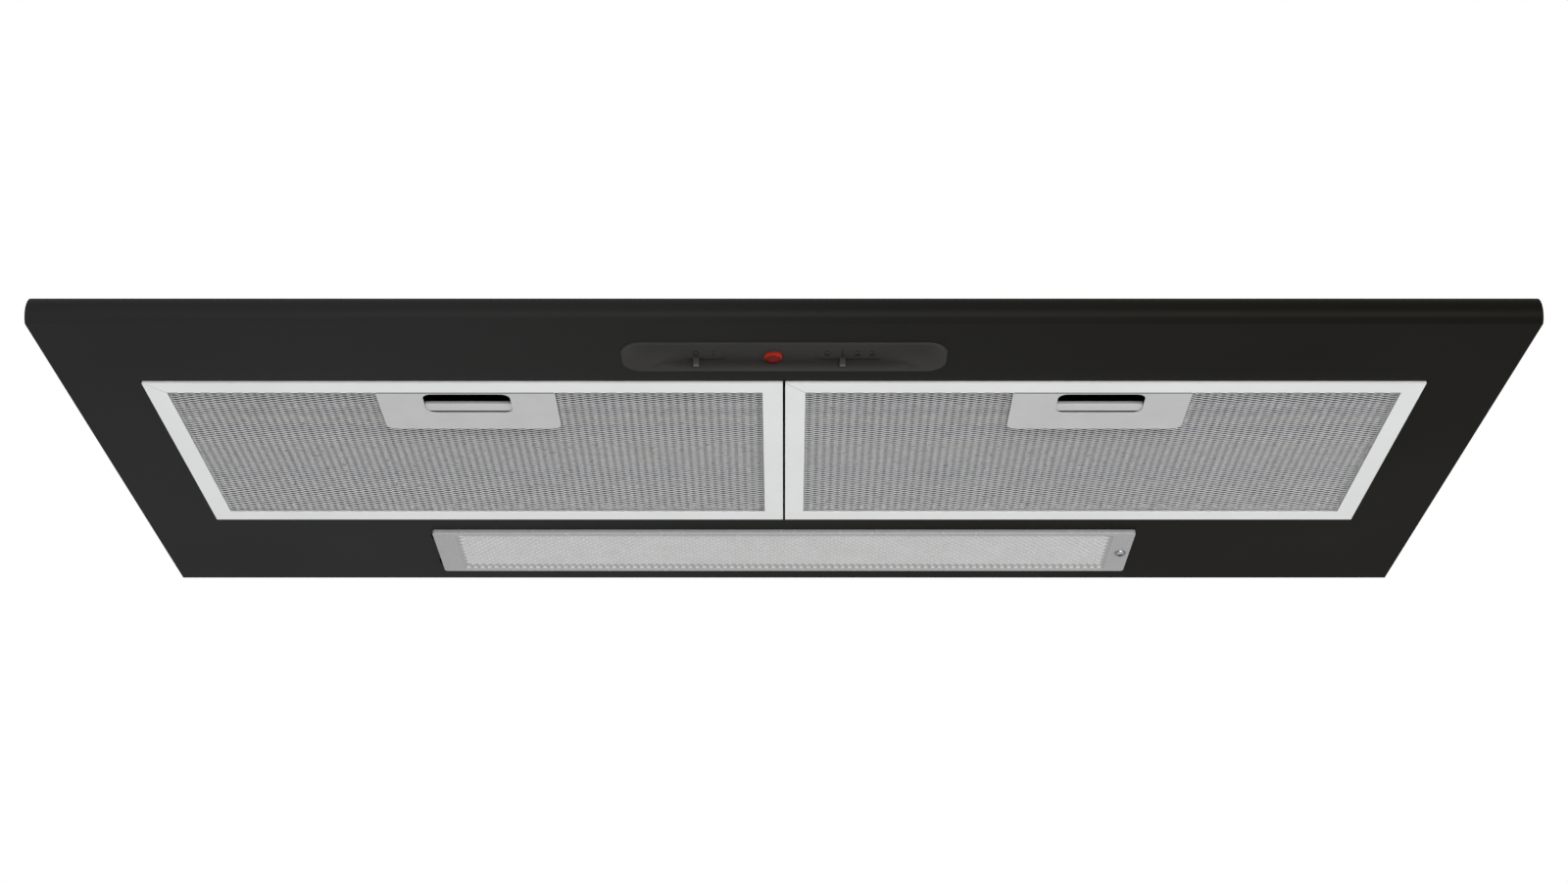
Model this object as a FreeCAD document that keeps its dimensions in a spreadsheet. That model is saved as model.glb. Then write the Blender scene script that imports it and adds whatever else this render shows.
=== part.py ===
"""Under cabinet range hood, 90 cm class, as separate named pieces.

Every piece is drawn in the hood's own bench frame: X across from the middle, Y back from the bend
line at the front of the underside, Z up from the underside. Each piece's Placement then moves it to
the part's frame, whose origin is where the duct spigot's axis crosses the top face.
"""
import FreeCAD, Part
import math
import os
import Sketcher
from FreeCAD import Placement, Rotation, Vector

doc = FreeCAD.newDocument("range_hood")
sheet = doc.addObject("Spreadsheet::Sheet", "Sizes")

# Driving dimensions: alias, millimetres (degrees where said), what it is
SIZES = [
    ("wide", 898, "overall width"),
    ("deep", 386, "underside, front bend line to rear edge"),
    ("tall", 130, "underside to top face"),
    ("top_deep", 174, "flat top, front to back"),
    ("plate", 1.0, "sheet steel of the shell"),
    ("nose_radius", 11.7, "rounded front edge"),
    ("nose_bulge", 3.6, "how far the nose stands in front of the bend line"),
    ("lip", 10, "lap of the casing over the nose"),
    ("rear_flange", 14, "upstand at the rear of the underside"),
    ("side_flange", 12, "inward flange of a side panel"),
    ("stud_radius", 2, "weld studs along the sides"),
    ("stud_tall", 9, "weld stud length"),
    ("nut_radius", 3.5, "nuts on the weld studs"),
    ("nut_tall", 3.2, "nut height"),
    ("spigot_back", 87, "duct axis to the rear edge"),
    ("hang_x", 760, "cabinet screw holes, left to right"),
    ("hang_y", 120, "cabinet screw holes, front to back"),
    ("hang_radius", 3, "cabinet screw holes"),
    # grease filters
    ("filter_wide", 398, "one filter cassette"),
    ("filter_deep", 204.9, "front to back"),
    ("filter_front", 73, "front bend line to filter"),
    ("filter_gap", 1.6, "between the two cassettes"),
    ("filter_slack", 1.0, "round the cassettes in the opening"),
    ("filter_thick", 9, "cassette thickness"),
    ("filter_proud", 1.2, "cassette below the underside"),
    ("filter_wall", 0.8, "folded aluminium strip"),
    ("border", 12.6, "visible face of the strip"),
    ("mitre_gap", 0.5, "open mitre where the strip's ends meet"),
    ("mesh_thick", 1.2, "expanded sheet"),
    ("mesh_slack", 0.5, "mesh to the strip's wall"),
    ("crimp_pitch", 12, "waves of the inner layer"),
    ("crimp_wall", 0.4, "sheet of the inner layer"),
    ("lug_gap", 1.5, "cassette to its tilt axis"),
    ("lug_edge", 1.0, "tilt axis to the opening's rear edge"),
    ("lug_thick", 1.0, "rear tongue"),
    ("lug_lap", 4, "rear tongue over the underside panel"),
    ("lug_wide", 20, "rear tongue"),
    ("lug_x", 130, "rear tongues either side of the cassette's middle"),
    ("seat_gap", 0.3, "loose seat between hooked pieces"),
    # filter handles
    ("handle_wide", 112.5, "handle plate"),
    ("handle_deep", 50.3, "front to back"),
    ("handle_round", 6, "rear corners"),
    ("slot_wide", 55, "finger slot"),
    ("slot_deep", 25.8, "front to back"),
    ("slot_front", 2.4, "handle plate's front edge to the slot"),
    ("slot_round", 6, "corners of the slot"),
    ("finger_gap", 15.9, "open part of the slot in front of the lip"),
    ("lip_deep", 8, "flat of the finger lip"),
    ("lip_round", 0.9, "front edge of the finger lip"),
    ("lip_rise", 2.6, "run of the finger lip's rear up to the slide"),
    ("lip_fit", 0.15, "finger lip above the handle plate"),
    ("cup_wide", 80, "latch cup"),
    ("cup_tall", 14, "latch cup's top above the underside"),
    ("cup_wall", 1.2, "latch cup"),
    ("latch_thick", 1.0, "latch slide"),
    ("latch_arm", 6, "width of each latch arm"),
    ("latch_catch", 3, "latch over the front edge of the opening"),
    ("latch_travel", 6, "pull needed to free the filter"),
    ("spring_radius", 1.8, "latch spring, outside"),
    ("spring_wire", 0.5, "latch spring wire"),
    # lamp
    ("lens_wide", 501, "lamp cover"),
    ("lens_deep", 68.5, "front to back"),
    ("lens_front", 298.2, "front bend line to lamp cover"),
    ("lens_proud", 3, "lamp cover below the underside"),
    ("lens_wall", 1.5, "moulded wall"),
    ("lens_end", 15, "plain end blocks"),
    ("lens_round", 2.5, "corners of the lamp cover"),
    ("lamp_end", 15.5, "end of the lamp cover past the opening above it"),
    ("lamp_lap", 8, "lamp cover past the front and rear of that opening"),
    ("hook_gap", 1.1, "lamp cover to its tilt axis"),
    ("hook_wide", 8, "lamp cover hooks"),
    ("hook_y", 22, "hooks either side of the lamp cover's middle"),
    ("screw_in", 6.8, "lamp cover screw from the right end"),
    ("screw_radius", 2, "lamp cover screw"),
    ("screw_head", 4, "head radius"),
    ("tray_tall", 37, "lamp tray"),
    ("tray_wall", 0.8, "lamp tray sheet"),
    ("tube_radius", 13, "fluorescent tube"),
    ("tube_in", 16, "tube's end, without pins, to the end of the lamp opening"),
    ("tube_glass", 0.8, "wall of the tube"),
    ("tube_axis", 18.5, "tube's axis above the underside"),
    ("cap_long", 14, "metal caps of the tube"),
    ("pin_long", 7, "contact pins"),
    ("pin_radius", 1.2, "contact pins"),
    ("pin_offset", 6.35, "contact pins from the tube's axis"),
    ("holder_thick", 10, "tube holders"),
    # control panel
    ("bezel_wide", 198, "control panel"),
    ("bezel_deep", 36, "front to back"),
    ("bezel_front", 22.7, "front bend line to the control panel"),
    ("bezel_round", 12.5, "corner radius"),
    ("bezel_proud", 0.6, "rim below the underside"),
    ("bezel_rim", 2.0, "rim outside the opening"),
    ("bezel_wall", 1.6, "moulded wall"),
    ("recess", 5.4, "depth of the finger recess"),
    ("knob_wide", 3.6, "switch fins"),
    ("knob_deep", 2.2, "switch fins, front to back"),
    ("knob_low", 0.3, "switch fins above the underside"),
    ("knob_long", 6, "stem of a switch above the control panel"),
    ("knob_foot", 1.5, "stem's foot past the stem"),
    ("light_x", -53.9, "light switch fin at 0"),
    ("light_travel", 10.7, "light switch, 0 to 1"),
    ("fan_x", 35.9, "fan switch fin as set, at 1"),
    ("fan_pitch", 9.2, "fan switch, one step"),
    ("key_slack", 3, "switch slot beyond the fin at each end"),
    ("key_fit", 0.5, "switch slot in front of and behind the fin"),
    ("guide_gap", 0.6, "switch body to the stem's foot"),
    ("switch_deep", 12, "switch bodies"),
    ("switch_tall", 12, "switch bodies"),
    ("switch_wall", 1.2, "switch bodies"),
    ("indicator_x", -6.6, "indicator"),
    ("indicator_radius", 5.5, "indicator"),
    # fan
    ("fan_centre_x", -170, "fan axis"),
    ("fan_back", 111, "fan axis to the rear edge"),
    ("fan_low", 48, "underside of the fan housing"),
    ("fan_tall", 60, "fan housing"),
    ("housing_wall", 1.5, "fan housing"),
    ("wheel_radius", 68, "fan wheel"),
    ("wheel_tall", 50, "fan wheel"),
    ("scroll_small", 75, "fan housing radius at the tongue"),
    ("scroll_large", 103, "fan housing radius at the outlet"),
    ("inlet_radius", 56, "fan inlet"),
    ("blade_count", 36, "fan blades"),
    ("blade_wide", 9, "fan blades, radially"),
    ("blade_thick", 1.0, "fan blades"),
    ("hub_wall", 1.2, "fan wheel's back plate"),
    ("hub_radius", 43, "cup round the motor"),
    ("motor_radius", 39, "motor"),
    ("motor_tall", 40, "motor"),
    ("shaft_radius", 4, "motor shaft"),
    ("shaft_fit", 0.05, "radial clearance of the shaft"),
    ("post_radius", 4, "posts that hang the housing from the top"),
    # outlet
    ("spigot_radius", 60, "duct spigot, outside"),
    ("spigot_wall", 1.2, "duct spigot"),
    ("spigot_tall", 24, "duct spigot above the top face"),
    ("spigot_neck", 0.6, "neck of the spigot above the top face"),
    ("neck_relief", 0.6, "neck inside the spigot's outer wall"),
    ("flap_ledge", 1.5, "ledge inside the spigot that the flaps rest on"),
    ("spigot_flange", 9, "flange of the spigot"),
    ("outlet_half", 73, "half the outlet box"),
    ("outlet_gap", 3, "outlet box to the rear wall"),
    ("tongue_turn", 40, "degrees, from +X to the tongue of the fan housing"),
    ("scroll_turn", 310, "degrees, from the tongue round to the outlet"),
    ("flap_thick", 0.8, "backdraught flaps"),
    ("flap_gap", 0.9, "flaps to the spigot's wall"),
    ("flap_up", 10, "flap axis above the top face"),
    ("flap_pin", 1.5, "flap pin radius"),
    ("flap_fit", 0.05, "flap knuckles on the pin"),
    ("knuckle", 1.2, "wall of the flap knuckles"),
    ("knuckle_long", 18, "one knuckle along the pin"),
    ("knuckle_first", -34, "start of the first knuckle from the middle of the spigot"),
    ("knuckle_step", 22, "start of one knuckle to the next, which is the other flap's"),
    # electrical
    ("box_x", 350, "terminal box from the middle"),
    ("box_wide", 90, "terminal box"),
    ("box_deep", 42, "front to back"),
    ("box_tall", 46, "terminal box"),
    ("box_low", 70, "terminal box above the underside"),
    ("box_wall", 2, "terminal box"),
    ("bushing_radius", 9, "cable bushing, outside"),
    ("cable_radius", 4.5, "cable bushing, bore"),
    ("can_radius", 15, "capacitor"),
    ("can_long", 62, "capacitor"),
    ("ballast_wide", 110, "ballast"),
    ("ballast_deep", 40, "ballast"),
    ("ballast_tall", 28, "ballast"),
    ("ballast_gap", 10.5, "ballast to the outlet box"),
    ("ballast_front", 8, "bend of the top to the ballast"),
    ("strap_in", 12, "mounting groove from the ballast's ends"),
    ("strap_deep", 5, "mounting groove of the ballast"),
    ("starter_out", 40, "starter from the lamp cover's left end"),
    ("starter_radius", 10.75, "starter"),
    ("starter_tall", 32, "starter with its socket"),
    ("socket_radius", 14, "starter socket"),
    ("socket_tall", 8, "starter socket"),
    ("clip_nut", 10, "clip nut, left to right"),
    ("clip_nut_deep", 12, "clip nut, front to back"),
    ("clip_nut_tall", 3, "clip nut"),
    ("head_dome", 2.2, "height of the lamp cover screw's head"),
    ("head_sink", 0.2, "head of that screw inside the cover"),
    ("shank_long", 8, "shank of that screw above the underside"),
    ("tray_foot", 6, "foot of the lamp tray"),
    ("tray_lap", 1, "lamp tray past the lamp opening"),
    ("holder_past", 1, "tube holder past the tube"),
    ("pin_slack", 0.6, "contact pins to the holder's socket"),
    ("block_wide", 56, "terminal block"),
    ("block_deep", 16, "terminal block"),
    ("block_tall", 14, "terminal block"),
    ("block_back", 10, "terminal block to the box's rear wall"),
    ("terminal_pitch", 16, "terminals"),
    ("terminal_radius", 3, "terminals"),
    ("terminal_deep", 6, "terminals"),
    ("bushing_rim", 2.5, "inner rim of the cable bushing"),
    ("hole_slack", 0.1, "hole round a pushed-in piece"),
    ("can_x", 150, "capacitor's left end from the middle"),
    ("can_gap", 1, "capacitor to the rear wall"),
    ("can_drop", 2, "capacitor to the casing's top"),
    ("can_neck", 5, "capacitor's contact end"),
    ("neck_in", 6, "contact end inside the capacitor's rim"),
    ("clip_in", 15, "capacitor clip from the capacitor's end"),
    ("clip_wide", 20, "capacitor clip"),
    ("clip_wall", 1, "capacitor clip"),
]

for row, (alias, number, meaning) in enumerate(SIZES, start=1):
    sheet.set(f"A{row}", meaning)
    sheet.set(f"B{row}", str(number))
    sheet.setAlias(f"B{row}", alias)
doc.recompute()


class Size:
    """A number with the spreadsheet expression that gives it."""

    def __init__(self, value, text=None):
        self.value = float(value)
        self.text = repr(float(value)) if text is None else text

    def join(self, other, sign, value):
        return Size(value, f"({self.text} {sign} {as_size(other).text})")

    def __add__(self, other):
        return self.join(other, "+", self.value + as_size(other).value)

    def __sub__(self, other):
        return self.join(other, "-", self.value - as_size(other).value)

    def __mul__(self, other):
        return self.join(other, "*", self.value * as_size(other).value)

    def __truediv__(self, other):
        return self.join(other, "/", self.value / as_size(other).value)

    def __radd__(self, other):
        return as_size(other) + self

    def __rsub__(self, other):
        return as_size(other) - self

    def __neg__(self):
        return Size(-self.value, f"(0 - {self.text})")


def as_size(number):
    return number if isinstance(number, Size) else Size(number)


def root(size):
    return Size(math.sqrt(size.value), f"sqrt({size.text})")


def sine(angle):
    return Size(math.sin(math.radians(angle.value)), f"sin({angle.text})")


def cosine(angle):
    return Size(math.cos(math.radians(angle.value)), f"cos({angle.text})")


def tilt_of(rise, run):
    return Size(math.degrees(math.atan2(rise.value, run.value)), f"atan2({rise.text}; {run.text})")


def tilt_from_sine(ratio):
    return Size(math.degrees(math.asin(ratio.value)), f"asin({ratio.text})")


class Table:
    """The spreadsheet's cells as Size values, by alias."""

    def __getattr__(self, alias):
        return Size(sheet.get(alias), f"Sizes.{alias}")


S = Table()
nodes = []


def bind(thing, prop, size):
    if isinstance(size, Size):
        thing.setExpression(prop, size.text)
    else:
        setattr(thing, prop, size)


def settle(thing, label):
    """Label a finished piece and move it from the bench frame to the part's frame."""
    thing.Label = label
    thing.setExpression("Placement.Base.y", (-spigot_y).text)
    thing.setExpression("Placement.Base.z", (-S.tall).text)
    nodes.append(thing)
    return thing


TURNS = {
    "x": Rotation(Vector(0, 1, 0), 90),
    "y": Rotation(Vector(1, 0, 0), -90),
    "z": Rotation(),
}
PLANES = {"YZ": "YZ_Plane", "XZ": "XZ_Plane", "XY": "XY_Plane"}


def place(thing, x, y, z, axis="z"):
    thing.Placement = Placement(Vector(), TURNS[axis])
    for letter, size in zip("xyz", (x, y, z)):
        thing.setExpression(f"Placement.Base.{letter}", as_size(size).text)


def rounded(x, y, radius):
    """Outline of a rectangle with four equal round corners."""
    (x0, x1), (y0, y1) = x, y
    r = radius
    return [
        (x0 + r, y0, r), (x1 - r, y0), (x1, y0 + r, r), (x1, y1 - r),
        (x1 - r, y1, r), (x0 + r, y1), (x0, y1 - r, r), (x0, y0 + r),
    ]


class Piece:
    """One sub-part as a PartDesign body, built from bound features."""

    def __init__(self, label):
        self.body = doc.addObject("PartDesign::Body", label)
        settle(self.body, label)

    def feature(self, kind, cut):
        return self.body.newObject(f"PartDesign::{'Subtractive' if cut else 'Additive'}{kind}", kind)

    def box(self, x, y, z, cut=False):
        made = self.feature("Box", cut)
        for prop, (low, high) in zip(("Length", "Width", "Height"), (x, y, z)):
            made.setExpression(prop, (as_size(high) - low).text)
        place(made, x[0], y[0], z[0])
        return self

    def rod(self, x, y, z, radius, length, axis="z", cut=False):
        made = self.feature("Cylinder", cut)
        bind(made, "Radius", as_size(radius))
        bind(made, "Height", as_size(length))
        place(made, x, y, z, axis)
        return self

    def shape(self, plane, points, span, cut=False):
        """Pad or pocket of an outline. A point with a third value ends an arc of that radius that
        bulges to the right of its chord; a negative radius bulges to the left."""
        sketch = self.body.newObject("Sketcher::SketchObject", "Outline")
        base = [o for o in self.body.Origin.OriginFeatures if o.Role == PLANES[plane]][0]
        sketch.AttachmentSupport = [(base, "")]
        sketch.MapMode = "FlatFace"
        low, high = as_size(span[0]), as_size(span[1])
        offset = -high if plane == "XZ" else low
        sketch.setExpression("AttachmentOffset.Base.z", offset.text)
        draw(sketch, points)
        kind = "Pocket" if cut else "Pad"
        made = self.body.newObject(f"PartDesign::{kind}", kind)
        made.Profile = sketch
        made.Reversed = cut
        made.setExpression("Length", (high - low).text)
        return self


def draw(sketch, points):
    """Closed outline of lines and arcs with every corner bound to the sheet."""
    corners = [(as_size(p[0]), as_size(p[1])) for p in points]
    count = len(points)
    starts = []
    for i in range(count):
        a, b = corners[i - 1], corners[i]
        va, vb = Vector(a[0].value, a[1].value), Vector(b[0].value, b[1].value)
        if len(points[i]) == 3:
            radius = abs(as_size(points[i][2]).value)
            left = as_size(points[i][2]).value < 0
            chord = vb - va
            normal = Vector(chord.y, -chord.x).normalize() * (-1 if left else 1)
            rise = math.sqrt(radius ** 2 - (chord.Length / 2) ** 2)
            centre = (va + vb) * 0.5 - normal * rise
            first, last = (vb, va) if left else (va, vb)
            begin = math.atan2(first.y - centre.y, first.x - centre.x)
            end = math.atan2(last.y - centre.y, last.x - centre.x)
            arc = Part.ArcOfCircle(Part.Circle(centre, Vector(0, 0, 1), radius), begin, end)
            edge = sketch.addGeometry(arc)
            starts.append((edge, 2, 1) if left else (edge, 1, 2))
            rule = sketch.addConstraint(Sketcher.Constraint("Radius", edge, radius))
            size = as_size(points[i][2])
            sketch.setExpression(f"Constraints[{rule}]", (-size if left else size).text)
        else:
            edge = sketch.addGeometry(Part.LineSegment(va, vb))
            starts.append((edge, 1, 2))
    for i in range(count):
        edge, _, end = starts[i]
        follow, begin, _ = starts[(i + 1) % count]
        sketch.addConstraint(Sketcher.Constraint("Coincident", edge, end, follow, begin))
        for kind, size in zip(("DistanceX", "DistanceY"), corners[i]):
            rule = sketch.addConstraint(Sketcher.Constraint(kind, -1, 1, edge, end, size.value))
            sketch.setExpression(f"Constraints[{rule}]", size.text)


class Group:
    """Like pieces, such as screws, kept as one node of separate solids."""

    def __init__(self, label):
        self.label = label
        self.solids = []

    def turned(self, x, y, z, steps, axis="z"):
        """A solid of coaxial cylinders, each given as (start, length, radius) along the axis."""
        parts = []
        for start, length, radius in steps:
            made = doc.addObject("Part::Cylinder", "Turned")
            bind(made, "Radius", as_size(radius))
            bind(made, "Height", as_size(length))
            at = {"x": (x + start, y, z), "y": (x, y + start, z), "z": (x, y, z + start)}[axis]
            place(made, *at, axis)
            parts.append(made)
        if len(parts) > 1:
            joined = doc.addObject("Part::MultiFuse", "Joined")
            joined.Shapes = parts
            parts = [joined]
        self.solids += parts

    def done(self):
        made = doc.addObject("Part::Compound", self.label)
        made.Links = self.solids
        settle(made, self.label)


def twins(label, *pieces):
    """Like pieces kept as one node of separate solids."""
    for piece in pieces:
        nodes.remove(piece.body)
    made = doc.addObject("Part::Compound", label)
    made.Links = [piece.body for piece in pieces]
    made.Label = label
    nodes.append(made)


def free_shape(label, shape):
    """A piece whose form follows a rule that no feature draws."""
    made = doc.addObject("Part::Feature", label)
    made.Shape = Part.Compound([shape])
    settle(made, label)


# ---------------------------------------------------------------- places worked out from the sizes
half = S.wide / 2
spigot_y = S.deep - S.spigot_back
fan_y = S.deep - S.fan_back
stud_x = half - S.side_flange / 2 - 0.5
middle_y = S.nose_radius - S.nose_bulge
middle_z = root(S.nose_radius * S.nose_radius - middle_y * middle_y)
slope_top = S.deep - S.top_deep
reach = root((slope_top - middle_y) * (slope_top - middle_y)
             + (S.tall - middle_z) * (S.tall - middle_z))
slope = tilt_of(S.tall - middle_z, slope_top - middle_y) - tilt_from_sine(S.nose_radius / reach)
open_front = S.filter_front - S.filter_slack
filter_rear = S.filter_front + S.filter_deep
tilt_y = filter_rear + S.lug_gap
open_rear = tilt_y + S.lug_edge
tongue_low = S.plate + S.seat_gap
tilt_z = tongue_low + S.lug_thick / 2
open_half = S.filter_wide + S.filter_gap / 2 + S.filter_slack
lens_mid_y = S.lens_front + S.lens_deep / 2
lens_left = -(S.lens_wide / 2)
lens_right = S.lens_wide / 2
lens_axis = lens_left - S.hook_gap
lamp_wide = S.lens_wide - S.lamp_end * 2
lamp_deep = S.lens_deep - S.lamp_lap * 2
tube_long = lamp_wide - S.tube_in * 2
lens_edge = lens_axis - S.lug_edge
bezel_left = -(S.bezel_wide / 2)
bezel_right = S.bezel_wide / 2
bezel_rear = S.bezel_front + S.bezel_deep
inside_top = S.tall - S.plate
inside_rear = S.deep - S.plate
fan_high = S.fan_low + S.fan_tall


def nose_point(inset):
    """Where the rounded nose, inset from the outside, runs into the slope."""
    radius = S.nose_radius - inset
    return (middle_y - radius * sine(slope), middle_z + radius * cosine(slope))


def slope_end(inset):
    """Where the slope, inset from the outside, meets the flat top."""
    drop = as_size(inset)
    return (slope_top + drop * sine(slope) / (1 + cosine(slope)), S.tall - drop)


# ---------------------------------------------------------------- shell
def underside_panel():
    piece = Piece("underside_panel")
    piece.box((-half, half), (0, S.deep), (0, S.plate))
    outer, inner = nose_point(0), nose_point(S.plate)
    share = (S.nose_radius - S.plate) / S.nose_radius
    foot = (middle_y - middle_y * share, middle_z - middle_z * share)
    piece.shape("YZ", [(0, 0, S.nose_radius), foot,
                       (inner[0], inner[1], -(S.nose_radius - S.plate)), outer], (-half, half))
    under = nose_point(S.plate + S.plate)
    along_y, along_z = S.lip * cosine(slope), S.lip * sine(slope)
    back_y, back_z = S.plate * cosine(slope), S.plate * sine(slope)
    piece.shape("YZ", [(inner[0] - back_y, inner[1] - back_z),
                       (inner[0] + along_y, inner[1] + along_z),
                       (under[0] + along_y, under[1] + along_z),
                       (under[0] - back_y, under[1] - back_z)],
                (-half + S.plate, half - S.plate))
    piece.box((-half + S.plate, half - S.plate), (inside_rear - S.plate, inside_rear),
              (0, S.rear_flange))
    piece.box((-open_half, open_half), (open_front, open_rear), (-1, 2), cut=True)
    lamp = ((-(lamp_wide / 2), lamp_wide / 2),
            (lens_mid_y - lamp_deep / 2, lens_mid_y + lamp_deep / 2))
    piece.box(*lamp, (-1, 2), cut=True)
    for side in (-1, 1):
        middle = lens_mid_y + S.hook_y * side
        piece.box((lens_edge, lens_left + S.lens_wall + S.seat_gap),
                  (middle - S.hook_wide / 2 - S.seat_gap, middle + S.hook_wide / 2 + S.seat_gap),
                  (-1, 2), cut=True)
    piece.rod(lens_right - S.screw_in, lens_mid_y, -1, S.screw_radius + S.seat_gap, 3, cut=True)
    inset = S.bezel_rim
    piece.shape("XY", rounded((bezel_left + inset, bezel_right - inset),
                              (S.bezel_front + inset, bezel_rear - inset),
                              S.bezel_round - inset), (-1, 2), cut=True)


def top_casing():
    piece = Piece("top_casing")
    low, low_in = nose_point(0), nose_point(S.plate)
    bend, bend_in = slope_end(0), slope_end(S.plate)
    piece.shape("YZ", [low, bend, (S.deep, S.tall), (S.deep, S.plate), (inside_rear, S.plate),
                       (inside_rear, inside_top), bend_in, low_in], (-half, half))
    piece.rod(0, spigot_y, S.tall - 5, S.spigot_radius + S.seat_gap, 10, cut=True)
    for side_x in (-1, 1):
        for side_y in (-1, 1):
            piece.rod(S.hang_x / 2 * side_x, spigot_y + S.hang_y / 2 * side_y,
                      S.tall - 5, S.hang_radius, 10, cut=True)
    piece.rod(S.box_x, inside_rear - 5, S.box_low + S.box_tall / 2, S.bushing_radius + S.hole_slack,
              10, axis="y", cut=True)


def side_panel(name, side):
    piece = Piece(name)
    low = nose_point(S.plate)
    bend = slope_end(S.plate)
    share = (S.nose_radius - S.plate) / S.nose_radius
    front = middle_y - root((S.nose_radius - S.plate) * (S.nose_radius - S.plate)
                            - (middle_z - S.plate) * (middle_z - S.plate))
    outline = [(front, S.plate, S.nose_radius - S.plate), (inside_rear, S.plate),
               (inside_rear, inside_top), bend, low]
    x0, x1 = (-half, -half + S.plate) if side < 0 else (half - S.plate, half)
    piece.shape("YZ", outline, (x0, x1))
    f0, f1 = (x0, x0 + S.side_flange) if side < 0 else (x1 - S.side_flange, x1)
    flange = (middle_y + S.lip, inside_rear - S.plate - S.seat_gap)
    piece.box((f0, f1), flange, (S.plate, S.plate + S.plate))
    piece.box((f0, f1), (slope_top + S.lip, inside_rear), (inside_top - S.plate, inside_top))
    for y in stud_rows():
        piece.rod(stud_x * side, y, 0, S.stud_radius + S.seat_gap, 5, cut=True)



def stud_rows():
    first = S.filter_front / 2
    step = (S.deep - S.filter_front) / 3
    return [first + step * i for i in range(4)]


def side_studs():
    group = Group("side_studs")
    for side in (-1, 1):
        for y in stud_rows():
            group.turned(stud_x * side, y, S.plate, [(0, S.stud_tall, S.stud_radius),
                                         (S.plate, S.nut_tall, S.nut_radius)])
    group.done()


# ---------------------------------------------------------------- grease filters
def filter_box(side):
    near, far = S.filter_gap / 2, S.filter_gap / 2 + S.filter_wide
    return (near, far) if side > 0 else (-far, -near)


def filter_middle(side):
    return (S.filter_gap / 2 + S.filter_wide / 2) * side


def grown(span, by):
    return (span[0] - by, span[1] + by)


z_low = -S.filter_proud
z_high = S.filter_thick - S.filter_proud
latch_low = tongue_low
latch_high = tongue_low + S.latch_thick
arm_out = S.slot_wide / 2 + 1 + S.latch_arm
arm_in = S.slot_wide / 2 + 1
handle_front = S.filter_front + S.border
cup_front = handle_front + 1
cup_rear = handle_front + S.handle_deep - 2
lip_front = handle_front + S.slot_front + S.finger_gap
latch_tip = open_front - S.latch_catch


def filter_frame(word, side):
    piece = Piece(f"filter_frame_{word}")
    x, y = filter_box(side), (S.filter_front, filter_rear)
    piece.box(x, y, (z_low, z_high))
    piece.box(grown(x, -S.border), grown(y, -S.border), (z_low - 1, z_high + 1), cut=True)
    piece.box(grown(x, -S.filter_wall), grown(y, -S.filter_wall),
              (z_low + S.filter_wall, z_high - S.filter_wall), cut=True)
    slit = S.mitre_gap
    left, front = x[0], S.filter_front
    run = S.border + 1
    piece.shape("XY", [(left - 1, front - 1 - slit / 2), (left - 1, front - 1 + slit / 2),
                       (left + run, front + run + slit / 2), (left + run, front + run - slit / 2)],
                (z_low - 1, z_high + 1), cut=True)
    middle = filter_middle(side)
    for hand in (-1, 1):
        inner, outer = middle + arm_in * hand, middle + arm_out * hand
        pair = (inner, outer) if hand > 0 else (outer, inner)
        piece.box(grown(pair, S.seat_gap), (S.filter_front - 1, S.filter_front + 2),
                  grown((latch_low, latch_high), S.seat_gap), cut=True)


def filter_lugs(word, side):
    group = []
    middle = filter_middle(side)
    for hand in (-1, 1):
        x0 = middle + S.lug_x * hand - S.lug_wide / 2
        leg = doc.addObject("Part::Box", "Leg")
        tongue = doc.addObject("Part::Box", "Tongue")
        for made, y, z in ((leg, (filter_rear, filter_rear + S.filter_wall),
                            (tongue_low, z_high - S.filter_wall)),
                           (tongue, (filter_rear, open_rear + S.lug_lap),
                            (tongue_low, tongue_low + S.lug_thick))):
            made.setExpression("Length", S.lug_wide.text)
            made.setExpression("Width", (y[1] - y[0]).text)
            made.setExpression("Height", (z[1] - z[0]).text)
            place(made, x0, y[0], z[0])
        joined = doc.addObject("Part::Fuse", "Lug")
        joined.Base = leg
        joined.Tool = tongue
        group.append(joined)
    made = doc.addObject("Part::Compound", f"filter_lugs_{word}")
    made.Links = group
    settle(made, f"filter_lugs_{word}")


def cup_span(side):
    middle = filter_middle(side)
    return (middle - S.cup_wide / 2, middle + S.cup_wide / 2)


def mesh_sheet(name, side, z):
    piece = Piece(name)
    inset = -(S.filter_wall + S.mesh_slack)
    piece.box(grown(filter_box(side), inset), grown((S.filter_front, filter_rear), inset), z)
    piece.box(grown(cup_span(side), S.seat_gap), (S.filter_front + S.border - 1, cup_rear + S.seat_gap),
              grown(z, 1), cut=True)
    middle = filter_middle(side)
    piece.box((middle - arm_out - 1, middle + arm_out + 1), (S.filter_front - 1, handle_front),
              grown(z, 1), cut=True)


mesh_low = (z_low + S.filter_wall, z_low + S.filter_wall + S.mesh_thick)
mesh_high = (z_high - S.filter_wall - S.mesh_thick, z_high - S.filter_wall)


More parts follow.
